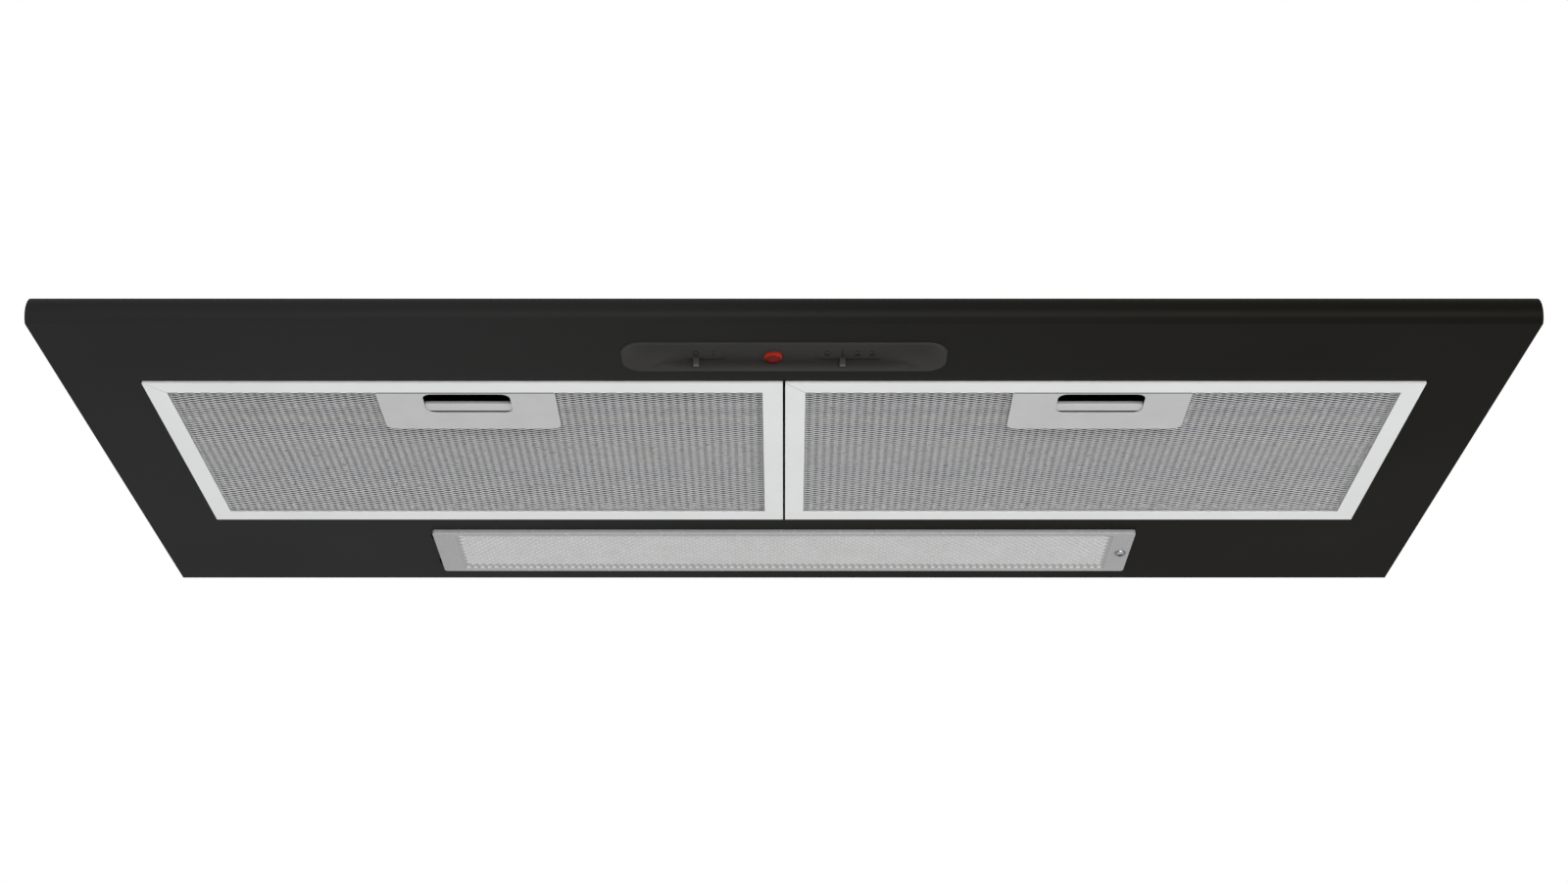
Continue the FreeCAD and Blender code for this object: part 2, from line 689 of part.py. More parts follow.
def filter_core(word, side):
    """Crimped inner layer: a zigzag strip between the two flat meshes, clear of the latch cup."""
    low, high = mesh_low[1].value, mesh_high[0].value
    wall, pitch = S.crimp_wall.value, S.crimp_pitch.value
    x0, x1 = (s.value for s in grown(filter_box(side), -(S.border + S.mesh_slack)))
    y0, y1 = (s.value for s in grown((S.filter_front, filter_rear), -(S.border + S.mesh_slack)))
    count = int((x1 - x0) / (pitch / 2))
    step = (x1 - x0) / count
    lower = [Vector(x0 + step * i, y0, low if i % 2 == 0 else high - wall)
             for i in range(count + 1)]
    upper = [Vector(p.x, y0, p.z + wall) for p in reversed(lower)]
    ring = Part.makePolygon(lower + upper + lower[:1])
    strip = Part.Face(ring).extrude(Vector(0, y1 - y0, 0))
    c0, c1 = (s.value for s in grown(cup_span(side), S.mesh_slack))
    rear = cup_rear.value + S.mesh_slack.value
    hole = Part.makeBox(c1 - c0, rear - y0 + 1, high - low + 2, Vector(c0, y0 - 1, low - 1))
    free_shape(f"filter_core_{word}", strip.cut(hole))


def handle_plate(word, side):
    piece = Piece(f"handle_plate_{word}")
    middle = filter_middle(side)
    x0, x1 = middle - S.handle_wide / 2, middle + S.handle_wide / 2
    y0, y1 = handle_front, handle_front + S.handle_deep
    r = S.handle_round
    z = (z_low, z_low + S.filter_wall)
    piece.shape("XY", [(x0, y0), (x1, y0), (x1, y1 - r), (x1 - r, y1, r), (x0 + r, y1),
                       (x0, y1 - r, r)], z)
    piece.shape("XY", rounded((middle - S.slot_wide / 2, middle + S.slot_wide / 2),
                              (y0 + S.slot_front, y0 + S.slot_front + S.slot_deep),
                              S.slot_round), grown(z, 1), cut=True)


def latch_cup(word, side):
    piece = Piece(f"latch_cup_{word}")
    x, y = cup_span(side), (cup_front, cup_rear)
    floor = mesh_low[0]
    piece.box(x, y, (floor, S.cup_tall))
    piece.box(grown(x, -S.cup_wall), grown(y, -S.cup_wall), (floor - 1, S.cup_tall - S.cup_wall),
              cut=True)
    for hand in (-1, 1):
        middle = filter_middle(side)
        wall = middle + (S.cup_wide / 2 - S.cup_wall) * hand
        rail = wall - S.cup_wall * 2 * hand
        pair = (rail, wall) if hand > 0 else (wall, rail)
        piece.box(pair, (lip_front, cup_rear - S.cup_wall), (floor, latch_low - S.seat_gap))
        piece.box(pair, (lip_front, cup_rear - S.cup_wall),
                  (latch_high + S.seat_gap, latch_high + S.seat_gap + S.cup_wall))
        inner, outer = middle + arm_in * hand, middle + arm_out * hand
        pair = (inner, outer) if hand > 0 else (outer, inner)
        piece.box(grown(pair, S.seat_gap), (cup_front - 1, cup_front + S.cup_wall + 1),
                  grown((latch_low, latch_high), S.seat_gap), cut=True)


def latch_slide(word, side):
    """Slide with two arms over the front edge, a finger lip and a spring tab."""
    piece = Piece(f"latch_slide_{word}")
    middle = filter_middle(side)
    rear = cup_rear - S.cup_wall - S.latch_travel - S.cup_wall
    tab = rear - S.latch_thick
    edge = S.cup_wide / 2 - S.cup_wall - S.seat_gap
    z = (latch_low, latch_high)
    piece.box((middle - edge, middle + edge), (lip_front + 2, rear), z)
    for hand in (-1, 1):
        inner, outer = middle + arm_in * hand, middle + arm_out * hand
        pair = (inner, outer) if hand > 0 else (outer, inner)
        piece.box(pair, (latch_tip, lip_front + 3), z)
    low = z_low + S.filter_wall + S.lip_fit
    flat, r = lip_front + S.lip_deep, S.lip_round
    piece.shape("YZ", [(lip_front + r, low), (flat, low), (flat + S.lip_rise, latch_low),
                       (flat + S.lip_rise, latch_high), (lip_front, latch_high),
                       (lip_front, low + r)], (middle - arm_in + 1, middle + arm_in - 1))
    piece.box((middle - S.latch_arm, middle + S.latch_arm), (tab, rear),
              (latch_low, latch_low + S.latch_arm))


def latch_spring(word, side):
    """Light compression spring from the slide's tab to the rear wall of the cup."""
    rear = (cup_rear - S.cup_wall).value
    front = (cup_rear - S.cup_wall - S.latch_travel - S.cup_wall).value
    wire = S.spring_wire.value / 2
    radius = S.spring_radius.value - wire
    long = rear - front - 2 * wire
    turns = 6
    helix = Part.makeHelix(long / turns, long, radius)
    ring = Part.Wire(Part.makeCircle(wire, Vector(radius, 0, 0), Vector(0, 1, 0)))
    coil = Part.Wire(helix).makePipeShell([ring], True, True)
    coil.rotate(Vector(), Vector(1, 0, 0), -90)
    height = (latch_low + S.latch_arm / 2 + 0.5).value
    coil.translate(Vector(filter_middle(side).value, front + wire, height))
    free_shape(f"latch_spring_{word}", coil)


# ---------------------------------------------------------------- lamp
pane_high = -S.lens_proud + S.lens_wall
screw_bore = S.screw_radius + S.hole_slack


def lens_cover():
    """Flat pane, and the frame on its back with the end blocks and the two hooks."""
    piece = Piece("lens_cover")
    x, y = (lens_left, lens_right), (S.lens_front, S.lens_front + S.lens_deep)
    piece.shape("XY", rounded(x, y, S.lens_round), (-S.lens_proud, pane_high))
    piece.rod(lens_right - S.screw_in, lens_mid_y, -S.lens_proud - 1, screw_bore,
              S.lens_wall + 2, cut=True)
    piece = Piece("lens_frame")
    piece.shape("XY", rounded(x, y, S.lens_round), (pane_high, 0))
    piece.box(grown(x, -S.lens_end), grown(y, -S.lens_wall), (pane_high - 1, 1), cut=True)
    for side in (-1, 1):
        middle = lens_mid_y + S.hook_y * side
        hook_y = (middle - S.hook_wide / 2, middle + S.hook_wide / 2)
        piece.box((lens_left, lens_left + S.lens_wall), hook_y, (pane_high, tongue_low + S.lug_thick))
        piece.box((lens_edge - S.lug_lap / 2, lens_left + S.lens_wall), hook_y,
                  (tongue_low, tongue_low + S.lug_thick))
    piece.rod(lens_right - S.screw_in, lens_mid_y, pane_high - 1, screw_bore, S.lens_proud + 1,
              cut=True)


def lens_screw():
    group = Group("lens_screw")
    group.turned(lens_right - S.screw_in, lens_mid_y, -S.lens_proud,
                 [(-S.head_dome, S.head_dome, S.screw_head),
                  (-S.head_sink, S.lens_proud + S.shank_long, S.screw_radius)])
    group.done()


def lens_nut():
    """Clip nut on the panel that takes the lamp cover's screw."""
    piece = Piece("lens_nut")
    x = lens_right - S.screw_in
    piece.box((x - S.clip_nut / 2, x + S.clip_nut / 2),
              (lens_mid_y - S.clip_nut_deep / 2, lens_mid_y + S.clip_nut_deep / 2),
              (S.plate, S.plate + S.clip_nut_tall))
    piece.rod(x, lens_mid_y, 0, screw_bore, S.clip_nut_tall * 2, cut=True)


tray_x = (-(lamp_wide / 2) - S.tray_lap, lamp_wide / 2 + S.tray_lap)
tray_y = (lens_mid_y - lamp_deep / 2 - S.tray_lap, lens_mid_y + lamp_deep / 2 + S.tray_lap)


def lamp_tray():
    """White steel trough over the lamp opening, with a foot that sits on the panel."""
    piece = Piece("lamp_tray")
    top = S.plate + S.tray_tall
    foot = grown(tray_y, S.tray_foot)
    piece.box(tray_x, foot, (S.plate, S.plate + S.tray_wall))
    piece.box(tray_x, tray_y, (S.plate, top))
    piece.box(grown(tray_x, -S.tray_wall), grown(tray_y, -S.tray_wall),
              (0, top - S.tray_wall), cut=True)


def lamp_tube():
    piece = Piece("lamp_tube")
    start = -(tube_long / 2) + S.cap_long
    piece.rod(start, lens_mid_y, S.tube_axis, S.tube_radius, tube_long - S.cap_long * 2, axis="x")
    piece.rod(start + S.tube_glass, lens_mid_y, S.tube_axis, S.tube_radius - S.tube_glass,
              tube_long - S.cap_long * 2 - S.tube_glass * 2, axis="x", cut=True)


def lamp_caps():
    group = Group("lamp_caps")
    long = tube_long / 2
    group.turned(-long, lens_mid_y, S.tube_axis, [(0, S.cap_long, S.tube_radius)], "x")
    group.turned(long - S.cap_long, lens_mid_y, S.tube_axis, [(0, S.cap_long, S.tube_radius)], "x")
    for x in (-long - S.pin_long, long):
        for hand in (-1, 1):
            group.turned(x, lens_mid_y, S.tube_axis + S.pin_offset * hand,
                         [(0, S.pin_long, S.pin_radius)], "x")
    group.done()


def lamp_holder(label, side):
    piece = Piece(label)
    near = tube_long / 2 + S.seat_gap
    far = near + S.holder_thick
    x = (near, far) if side > 0 else (-far, -near)
    reach_y = S.tube_radius + S.holder_past
    top = S.plate + S.tray_tall - S.tray_wall
    piece.box(x, (lens_mid_y - reach_y, lens_mid_y + reach_y), (S.tube_axis - reach_y, top))
    pocket = S.pin_offset + S.pin_radius + S.pin_slack
    deep = S.pin_long + 1
    start = near - 1 if side > 0 else -near - deep
    return piece.rod(start, lens_mid_y, S.tube_axis, pocket, deep + 1, axis="x", cut=True)


def ballast():
    piece = Piece("ballast")
    left, front = S.outlet_half + S.ballast_gap, slope_top + S.ballast_front
    x = (left, left + S.ballast_wide)
    y = (front, front + S.ballast_deep)
    top = (inside_top - S.ballast_tall, inside_top)
    piece.box(x, y, top)
    piece.box(grown(x, -S.strap_in), grown(y, 1), (inside_top - S.strap_deep, inside_top + 1),
              cut=True)


def starter():
    group = Group("starter")
    group.turned(lens_left - S.starter_out, lens_mid_y, S.plate,
                 [(0, S.socket_tall, S.socket_radius),
                  (S.socket_tall, S.starter_tall, S.starter_radius)])
    group.done()


# ---------------------------------------------------------------- control panel
def key_span(low_x, high_x):
    reach_x = S.knob_wide / 2 + S.key_slack
    return (low_x - reach_x, high_x + reach_x)


light_span = key_span(S.light_x, S.light_x + S.light_travel)
fan_span = key_span(S.fan_x - S.fan_pitch, S.fan_x + S.fan_pitch * 2)
bezel_top = S.recess + S.bezel_wall
stem_rear = bezel_rear - S.bezel_rim - S.bezel_wall - S.seat_gap - S.key_fit
stem_y = (stem_rear - S.knob_deep, stem_rear)


def control_bezel():
    piece = Piece("control_bezel")
    x, y = (bezel_left, bezel_right), (S.bezel_front, bezel_rear)
    inset = S.bezel_rim + S.seat_gap
    wall = S.bezel_wall + inset
    piece.shape("XY", rounded(x, y, S.bezel_round), (-S.bezel_proud, 0))
    piece.shape("XY", rounded(grown(x, -inset), grown(y, -inset), S.bezel_round - inset),
                (-S.bezel_proud, bezel_top))
    piece.shape("XY", rounded(grown(x, -wall), grown(y, -wall), S.bezel_round - wall),
                (-S.bezel_proud - 1, S.recess), cut=True)
    for span in (light_span, fan_span):
        piece.box(span, (stem_y[0] - S.key_fit, bezel_rear - wall), (S.recess - 1, bezel_top + 1),
                  cut=True)
    piece.rod(S.indicator_x, bezel_rear - wall - S.indicator_radius, S.recess - 1,
              S.indicator_radius + 0.1, 5, cut=True)


def slider(name, x):
    piece = Piece(name)
    w = S.knob_wide / 2
    top = bezel_top + S.knob_long
    foot = S.knob_foot
    piece.box((x - w, x + w), stem_y, (S.knob_low, top))
    piece.box((x - w - foot, x + w + foot), grown(stem_y, foot),
              (bezel_top + S.switch_wall + S.guide_gap, top))


def switch_body(label, span):
    piece = Piece(label)
    middle = (stem_y[0] + stem_y[1]) / 2
    y = (middle - S.switch_deep / 2, middle + S.switch_deep / 2)
    x = grown(span, S.key_slack)
    z = (bezel_top, bezel_top + S.switch_tall)
    piece.box(x, y, z)
    piece.box(span, grown(stem_y, S.knob_foot * 2), (bezel_top + S.switch_wall, z[1] - S.switch_wall),
              cut=True)
    return piece.box(span, grown(stem_y, S.key_fit), (bezel_top - 1, bezel_top + S.switch_wall + 1),
                     cut=True)


def indicator():
    piece = Piece("indicator_lens")
    y = bezel_rear - S.bezel_rim - S.seat_gap - S.bezel_wall - S.indicator_radius
    piece.rod(S.indicator_x, y, S.recess - 3.6, S.indicator_radius, bezel_top + 4 - S.recess + 3.6)
    group = Group("indicator_lamp")
    group.turned(S.indicator_x, y, bezel_top + 4, [(0, 2, 7), (2, 8, 5)])
    group.done()


# ---------------------------------------------------------------- fan
def scroll_radius(turn):
    """Housing radius at a share of the turn from the tongue to the outlet."""
    return S.scroll_small.value + (S.scroll_large.value - S.scroll_small.value) * turn


def scroll_wire(inset):
    """Plan of the housing: a spiral that ends in a straight channel towards +X."""
    cx, cy = S.fan_centre_x.value, fan_y.value
    steps = 24
    start, sweep = math.radians(S.tongue_turn.value), math.radians(S.scroll_turn.value)
    spiral = []
    for i in range(steps + 1):
        turn = i / steps
        angle = start - sweep * turn
        radius = scroll_radius(turn) - inset
        spiral.append(Vector(cx + radius * math.cos(angle), cy + radius * math.sin(angle), 0))
    curve = Part.BSplineCurve()
    curve.interpolate(spiral)
    outlet = -S.outlet_half.value
    tongue, last = spiral[0], spiral[-1]
    far, near = Vector(outlet, last.y, 0), Vector(outlet, tongue.y, 0)
    lines = [Part.LineSegment(a, b).toShape() for a, b in ((last, far), (far, near), (near, tongue))]
    return Part.Wire([curve.toShape()] + lines)


def scroll_solid(inset, low, high):
    face = Part.Face(scroll_wire(inset))
    face.translate(Vector(0, 0, low))
    return face.extrude(Vector(0, 0, high - low))


def fan_housing():
    """Lower plate with the inlet, scroll strip with the mouth, upper plate with the motor hole."""
    wall = S.housing_wall.value
    low, high = S.fan_low.value, fan_high.value
    centre = Vector(S.fan_centre_x.value, fan_y.value, low - 1)
    inlet = Part.makeCylinder(S.inlet_radius.value, wall + 2, centre)
    free_shape("fan_housing_lower", scroll_solid(0, low, low + wall).cut(inlet))
    outside = scroll_solid(0, low + wall, high - wall)
    inside = scroll_solid(wall, low + wall, high)
    past = Part.makeBox(4, 400, high, Vector(-S.outlet_half.value - wall - 1, 0, low + wall))
    mouth = inside.common(past)
    mouth.translate(Vector(2, 0, 0))
    free_shape("fan_housing_scroll", outside.cut(inside).cut(mouth))
    plate = scroll_solid(0, high - wall, high)
    hole = Part.makeCylinder(S.motor_radius.value + S.seat_gap.value, high, centre)
    free_shape("fan_housing_upper", plate.cut(hole))


def inlet_ring():
    """Bell mouth under the housing that leads air into the wheel."""
    r, w = S.inlet_radius.value, S.housing_wall.value
    low = S.fan_low.value
    profile = [Vector(r - w - 0.3, 0, low + 4), Vector(r - 0.3, 0, low + 4), Vector(r - 0.3, 0, low),
               Vector(r + 8, 0, low), Vector(r + 8, 0, low - w), Vector(r - w - 0.3, 0, low - w)]
    face = Part.Face(Part.makePolygon(profile + profile[:1]))
    ring = face.revolve(Vector(), Vector(0, 0, 1), 360)
    ring.translate(Vector(S.fan_centre_x.value, fan_y.value, 0))
    free_shape("inlet_ring", ring)


motor_low = fan_high + S.plate - S.motor_tall + 14
wheel_low = S.fan_low + (S.fan_tall - S.wheel_tall) / 2
wheel_high = wheel_low + S.wheel_tall


def fan_wheel():
    """Back plate, cupped round the motor, and the strip of forward-curved blades with its band."""
    w = S.hub_wall.value
    low, high = wheel_low.value, wheel_high.value
    outer, cup = S.wheel_radius.value, S.hub_radius.value
    hub = S.shaft_radius.value
    dish = (motor_low - 4).value
    profile = [(hub, dish - 10), (hub + 5, dish - 10), (hub + 5, dish - w), (cup + w, dish - w),
               (cup + w, high - w), (outer, high - w), (outer, high), (cup, high), (cup, dish),
               (hub, dish)]
    ring = Part.makePolygon([Vector(r, 0, z) for r, z in profile + profile[:1]])
    plate = Part.Face(ring).revolve(Vector(), Vector(0, 0, 1), 360)
    band = Part.makeCylinder(outer, 5, Vector(0, 0, low))
    band = band.cut(Part.makeCylinder(outer - w, 5, Vector(0, 0, low)))
    wide, thick = S.blade_wide.value, S.blade_thick.value
    blade = Part.makeBox(wide, thick, high - w - low, Vector(outer - wide - w / 2, 0, low))
    blade.rotate(Vector(outer - wide / 2, 0, 0), Vector(0, 0, 1), 30)
    count = int(S.blade_count.value)
    blades = []
    for i in range(count):
        one = blade.copy()
        one.rotate(Vector(), Vector(0, 0, 1), 360 / count * i)
        blades.append(one)
    inside = Part.makeCylinder(outer, high, Vector())
    blades = [one.common(inside) for one in blades]
    for name, shape in (("fan_wheel", plate), ("fan_blades", band.fuse(blades))):
        shape.translate(Vector(S.fan_centre_x.value, fan_y.value, 0))
        free_shape(name, shape)


def motor():
    piece = Piece("fan_motor")
    x, y = S.fan_centre_x, fan_y
    piece.rod(x, y, motor_low, S.motor_radius, S.motor_tall)
    piece.rod(x, y, fan_high, S.motor_radius + 8, 2)
    piece.rod(x, y, motor_low - 1, S.shaft_radius + S.shaft_fit, 31, cut=True)
    group = Group("motor_shaft")
    group.turned(x, y, motor_low - 13, [(0, 13 + 28, S.shaft_radius)])
    group.done()


def motor_screws():
    group = Group("motor_screws")
    radius = S.motor_radius + 4
    for i in range(4):
        angle = Size(45 + 90 * i)
        group.turned(S.fan_centre_x + radius * cosine(angle), fan_y + radius * sine(angle),
                     fan_high + 2, [(0, 2.4, 3.4)])
    group.done()


def housing_posts():
    """Four posts that hang the fan housing from the top of the casing."""
    group = Group("housing_posts")
    out = S.motor_radius + 22
    for i in range(4):
        angle = Size(20 + 90 * i)
        group.turned(S.fan_centre_x + out * cosine(angle), fan_y + out * sine(angle),
                     fan_high, [(0, inside_top - fan_high, S.post_radius)])
    group.done()


# ---------------------------------------------------------------- outlet
def outlet_box():
    piece = Piece("outlet_box")
    x = (-S.outlet_half, S.outlet_half)
    y = (spigot_y - S.outlet_half, inside_rear - S.outlet_gap)
    z = (S.fan_low, inside_top)
    piece.box(x, y, z)
    piece.box(grown(x, -S.plate), grown(y, -S.plate), (S.fan_low + S.plate, inside_top + 1),
              cut=True)
    tongue = fan_y + S.scroll_small * sine(S.tongue_turn)
    far = fan_y + S.scroll_large
    piece.box((-S.outlet_half - 1, -S.outlet_half + 2), (tongue, far - S.housing_wall),
              (S.fan_low + S.housing_wall, fan_high - S.housing_wall), cut=True)


def duct_spigot():
    piece = Piece("duct_spigot")
    y = spigot_y
    high = S.tall + S.spigot_tall
    under = inside_top - S.spigot_wall
    foot = S.tall + S.spigot_neck
    piece.rod(0, y, under, S.spigot_radius - S.neck_relief, high - under)
    piece.rod(0, y, foot, S.spigot_radius, high - foot)
    piece.rod(0, y, under, S.spigot_radius + S.spigot_flange, S.spigot_wall)
    bore = S.spigot_radius - S.spigot_wall
    stop_z = S.tall + S.flap_up - S.flap_thick / 2 - S.seat_gap
    piece.rod(0, y, under - 1, bore - S.flap_ledge, high - under + 2, cut=True)
    piece.rod(0, y, under - 1, bore, stop_z - 1 - under + 1, cut=True)
    piece.rod(0, y, stop_z, bore, high, cut=True)
    piece.rod(-S.spigot_radius - 1, y, S.tall + S.flap_up, S.flap_pin + S.flap_fit,
              S.spigot_radius * 2 + 2, axis="x", cut=True)


def damper_pin():
    group = Group("damper_pin")
    group.turned(-S.spigot_radius + 0.2, spigot_y, S.tall + S.flap_up,
                 [(0, S.spigot_radius * 2 - 0.4, S.flap_pin)], "x")
    group.done()


def damper(name, side):
    """Half-round flap with two knuckles on the pin across the spigot."""
    radius = (S.spigot_radius - S.spigot_wall - S.flap_gap).value
    z = (S.tall + S.flap_up).value
    thick = S.flap_thick.value
    bore = (S.flap_pin + S.flap_fit).value
    barrel = bore + S.knuckle.value
    disc = Part.makeCylinder(radius, thick, Vector(0, 0, -thick / 2))
    keep = Part.makeBox(2 * radius, radius, thick, Vector(-radius, barrel + 0.3, -thick / 2))
    flap = disc.common(keep)
    long, first, step = S.knuckle_long.value, S.knuckle_first.value, S.knuckle_step.value
    skip = 0 if side > 0 else 1
    places = [first + step * (skip + 2 * i) for i in (0, 1)]
    for start in places:
        tube = Part.makeCylinder(barrel, long, Vector(start, 0, 0), Vector(1, 0, 0))
        web = Part.makeBox(long, barrel + 1, thick, Vector(start, 0, -thick / 2))
        flap = flap.fuse([tube, web])
    flap = flap.cut(Part.makeCylinder(bore, 2 * radius + 2, Vector(-radius - 1, 0, 0),
                                      Vector(1, 0, 0)))
    if side < 0:
        flap = flap.mirror(Vector(), Vector(0, 1, 0))
    flap.translate(Vector(0, spigot_y.value, z))
    free_shape(name, flap)


# ---------------------------------------------------------------- electrical
def terminal_box():
    piece = Piece("terminal_box")
    x = (S.box_x - S.box_wide / 2, S.box_x + S.box_wide / 2)
    y = (inside_rear - S.box_deep, inside_rear)
    z = (S.box_low, S.box_low + S.box_tall)
    w = S.box_wall
    piece.box(x, y, z)
    piece.box(grown(x, -w), (y[0] - 1, y[1] - w), grown(z, -w), cut=True)
    middle = S.box_low + S.box_tall / 2
    piece.rod(S.box_x, inside_rear - w - 1, middle, S.bushing_radius + S.hole_slack, w + 2, axis="y",
              cut=True)
    cover = Piece("terminal_cover")
    cover.box(x, (y[0] - w, y[0]), z)
    group = Group("cable_bushing")
    group.turned(S.box_x, inside_rear - w, middle,
                 [(0, w + S.plate, S.bushing_radius), (-w, w, S.bushing_radius + S.bushing_rim)], "y")
    solid = group.solids[0]
    hole = doc.addObject("Part::Cylinder", "Bore")
    bind(hole, "Radius", S.cable_radius)
    hole.Height = 20
    place(hole, S.box_x, inside_rear - 10, middle, "y")
    bushing = doc.addObject("Part::Cut", "cable_bushing")
    bushing.Base = solid
    bushing.Tool = hole
    settle(bushing, "cable_bushing")


def terminal_block():
    piece = Piece("terminal_block")
    middle = S.box_low + S.box_wall
    rear = inside_rear - S.box_wall
    y = (rear - S.block_back - S.block_deep, rear - S.block_back)
    top = middle + S.block_tall
    piece.box((S.box_x - S.block_wide / 2, S.box_x + S.block_wide / 2), y, (middle, top))
    for i in (-1, 0, 1):
        piece.rod(S.box_x + S.terminal_pitch * i, (y[0] + y[1]) / 2, top - S.terminal_deep,
                  S.terminal_radius, S.terminal_deep + 1, cut=True)


def capacitor():
    group = Group("capacitor")
    y = inside_rear - S.can_radius - S.can_gap
    z = inside_top - S.can_radius - S.can_drop
    group.turned(S.can_x, y, z, [(0, S.can_long, S.can_radius),
                                 (-S.can_neck, S.can_neck, S.can_radius - S.neck_in)], "x")
    group.done()
    clip = Piece("capacitor_clip")
    reach = S.can_radius + S.clip_wall
    left = S.can_x + S.clip_in
    clip.box((left, left + S.clip_wide), (y - reach, y + reach), (z - reach, inside_top))
    clip.rod(left - 1, y, z, S.can_radius, S.clip_wide + 2, axis="x", cut=True)


SIDES = (("left", -1), ("right", 1))


def build():
    underside_panel()
    top_casing()
    side_studs()
    for word, side in SIDES:
        side_panel(f"side_panel_{word}", side)
        filter_frame(word, side)
        filter_lugs(word, side)
        mesh_sheet(f"filter_mesh_lower_{word}", side, mesh_low)
        filter_core(word, side)
        mesh_sheet(f"filter_mesh_upper_{word}", side, mesh_high)
        handle_plate(word, side)
        latch_cup(word, side)
        latch_slide(word, side)
        latch_spring(word, side)
    lens_cover()
    lens_screw()
    lens_nut()
    lamp_tray()
    lamp_tube()
    lamp_caps()
    twins("lamp_holders", lamp_holder("left_holder", -1), lamp_holder("right_holder", 1))
    starter()
    ballast()
    control_bezel()
    slider("light_slider", S.light_x)
    slider("fan_slider", S.fan_x)
    twins("switch_bodies", switch_body("light_switch", light_span),
          switch_body("fan_switch", fan_span))
    indicator()
    fan_housing()
    inlet_ring()
    fan_wheel()
    motor()
    motor_screws()
    housing_posts()
    outlet_box()
    duct_spigot()
    damper_pin()
    damper("damper_front", -1)
    damper("damper_rear", 1)
    terminal_box()
    terminal_block()
    capacitor()


def check():
    for thing in doc.Objects:
        if {"Invalid", "Error"} & set(thing.State):
            raise RuntimeError(f"{thing.Label}: {thing.State}")
    for node in nodes:
        if node.Shape.isNull() or not node.Shape.isValid():
            raise RuntimeError(f"{node.Label}: no valid shape")


build()
doc.recompute()
check()
os.makedirs("parts", exist_ok=True)
for node in nodes:
    node.Shape.exportStep(f"parts/{node.Label}.step")
    box = node.Shape.BoundBox
    print(f"{node.Label:26s} {len(node.Shape.Solids):2d} {node.Shape.Volume / 1000:9.2f} cm3",
          f"x {box.XMin:7.1f} {box.XMax:7.1f}  y {box.YMin:7.1f} {box.YMax:7.1f}",
          f" z {box.ZMin:7.1f} {box.ZMax:7.1f}")
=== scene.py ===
import math

import bmesh
import bpy
from bpy.props import FloatProperty, FloatVectorProperty, IntProperty, PointerProperty
from mathutils import Matrix, Vector


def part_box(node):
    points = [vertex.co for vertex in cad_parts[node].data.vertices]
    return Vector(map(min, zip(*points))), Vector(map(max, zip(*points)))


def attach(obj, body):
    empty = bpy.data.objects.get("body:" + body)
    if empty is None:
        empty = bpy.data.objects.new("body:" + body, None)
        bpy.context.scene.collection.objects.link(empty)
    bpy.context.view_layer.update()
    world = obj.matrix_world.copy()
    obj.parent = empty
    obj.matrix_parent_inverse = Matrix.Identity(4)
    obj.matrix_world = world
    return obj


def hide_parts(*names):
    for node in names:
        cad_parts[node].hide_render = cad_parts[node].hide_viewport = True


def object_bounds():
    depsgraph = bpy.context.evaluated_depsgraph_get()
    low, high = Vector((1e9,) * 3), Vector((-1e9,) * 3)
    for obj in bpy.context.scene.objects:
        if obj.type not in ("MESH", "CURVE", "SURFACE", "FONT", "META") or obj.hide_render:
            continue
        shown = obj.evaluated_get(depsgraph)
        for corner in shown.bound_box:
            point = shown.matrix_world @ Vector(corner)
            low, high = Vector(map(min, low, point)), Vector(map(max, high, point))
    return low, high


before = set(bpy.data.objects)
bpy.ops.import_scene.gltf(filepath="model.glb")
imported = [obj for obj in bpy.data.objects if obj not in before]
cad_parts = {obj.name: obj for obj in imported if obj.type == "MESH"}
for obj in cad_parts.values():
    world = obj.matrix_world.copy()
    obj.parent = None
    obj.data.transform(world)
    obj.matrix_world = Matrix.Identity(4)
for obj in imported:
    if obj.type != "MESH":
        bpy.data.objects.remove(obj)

bl_info = {
    "name": "Under Cabinet Range Hood",
    "version": (1, 0, 0),
    "blender": (4, 5, 0),
    "location": "3D View > Sidebar > Range Hood",
    "description": "Finishes the packed range hood: filter mesh, lamp cover, control panel, paint and stage",
    "category": "Object",
}

MM = 0.001
CAD_LOW, CAD_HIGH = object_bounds()
SIDES = ("left", "right")
NOISE_RANGE = (0.3, 0.7)        # most of a noise texture's values lie between these
MIX_A, MIX_B, MIX_OUT = 6, 7, 2     # colour sockets of a Mix node
NOWHERE = (Vector((9, 9, 9)), Vector((9, 9, 9)))        # a keep-out with nothing in it
CIRCLE_STEPS = 32


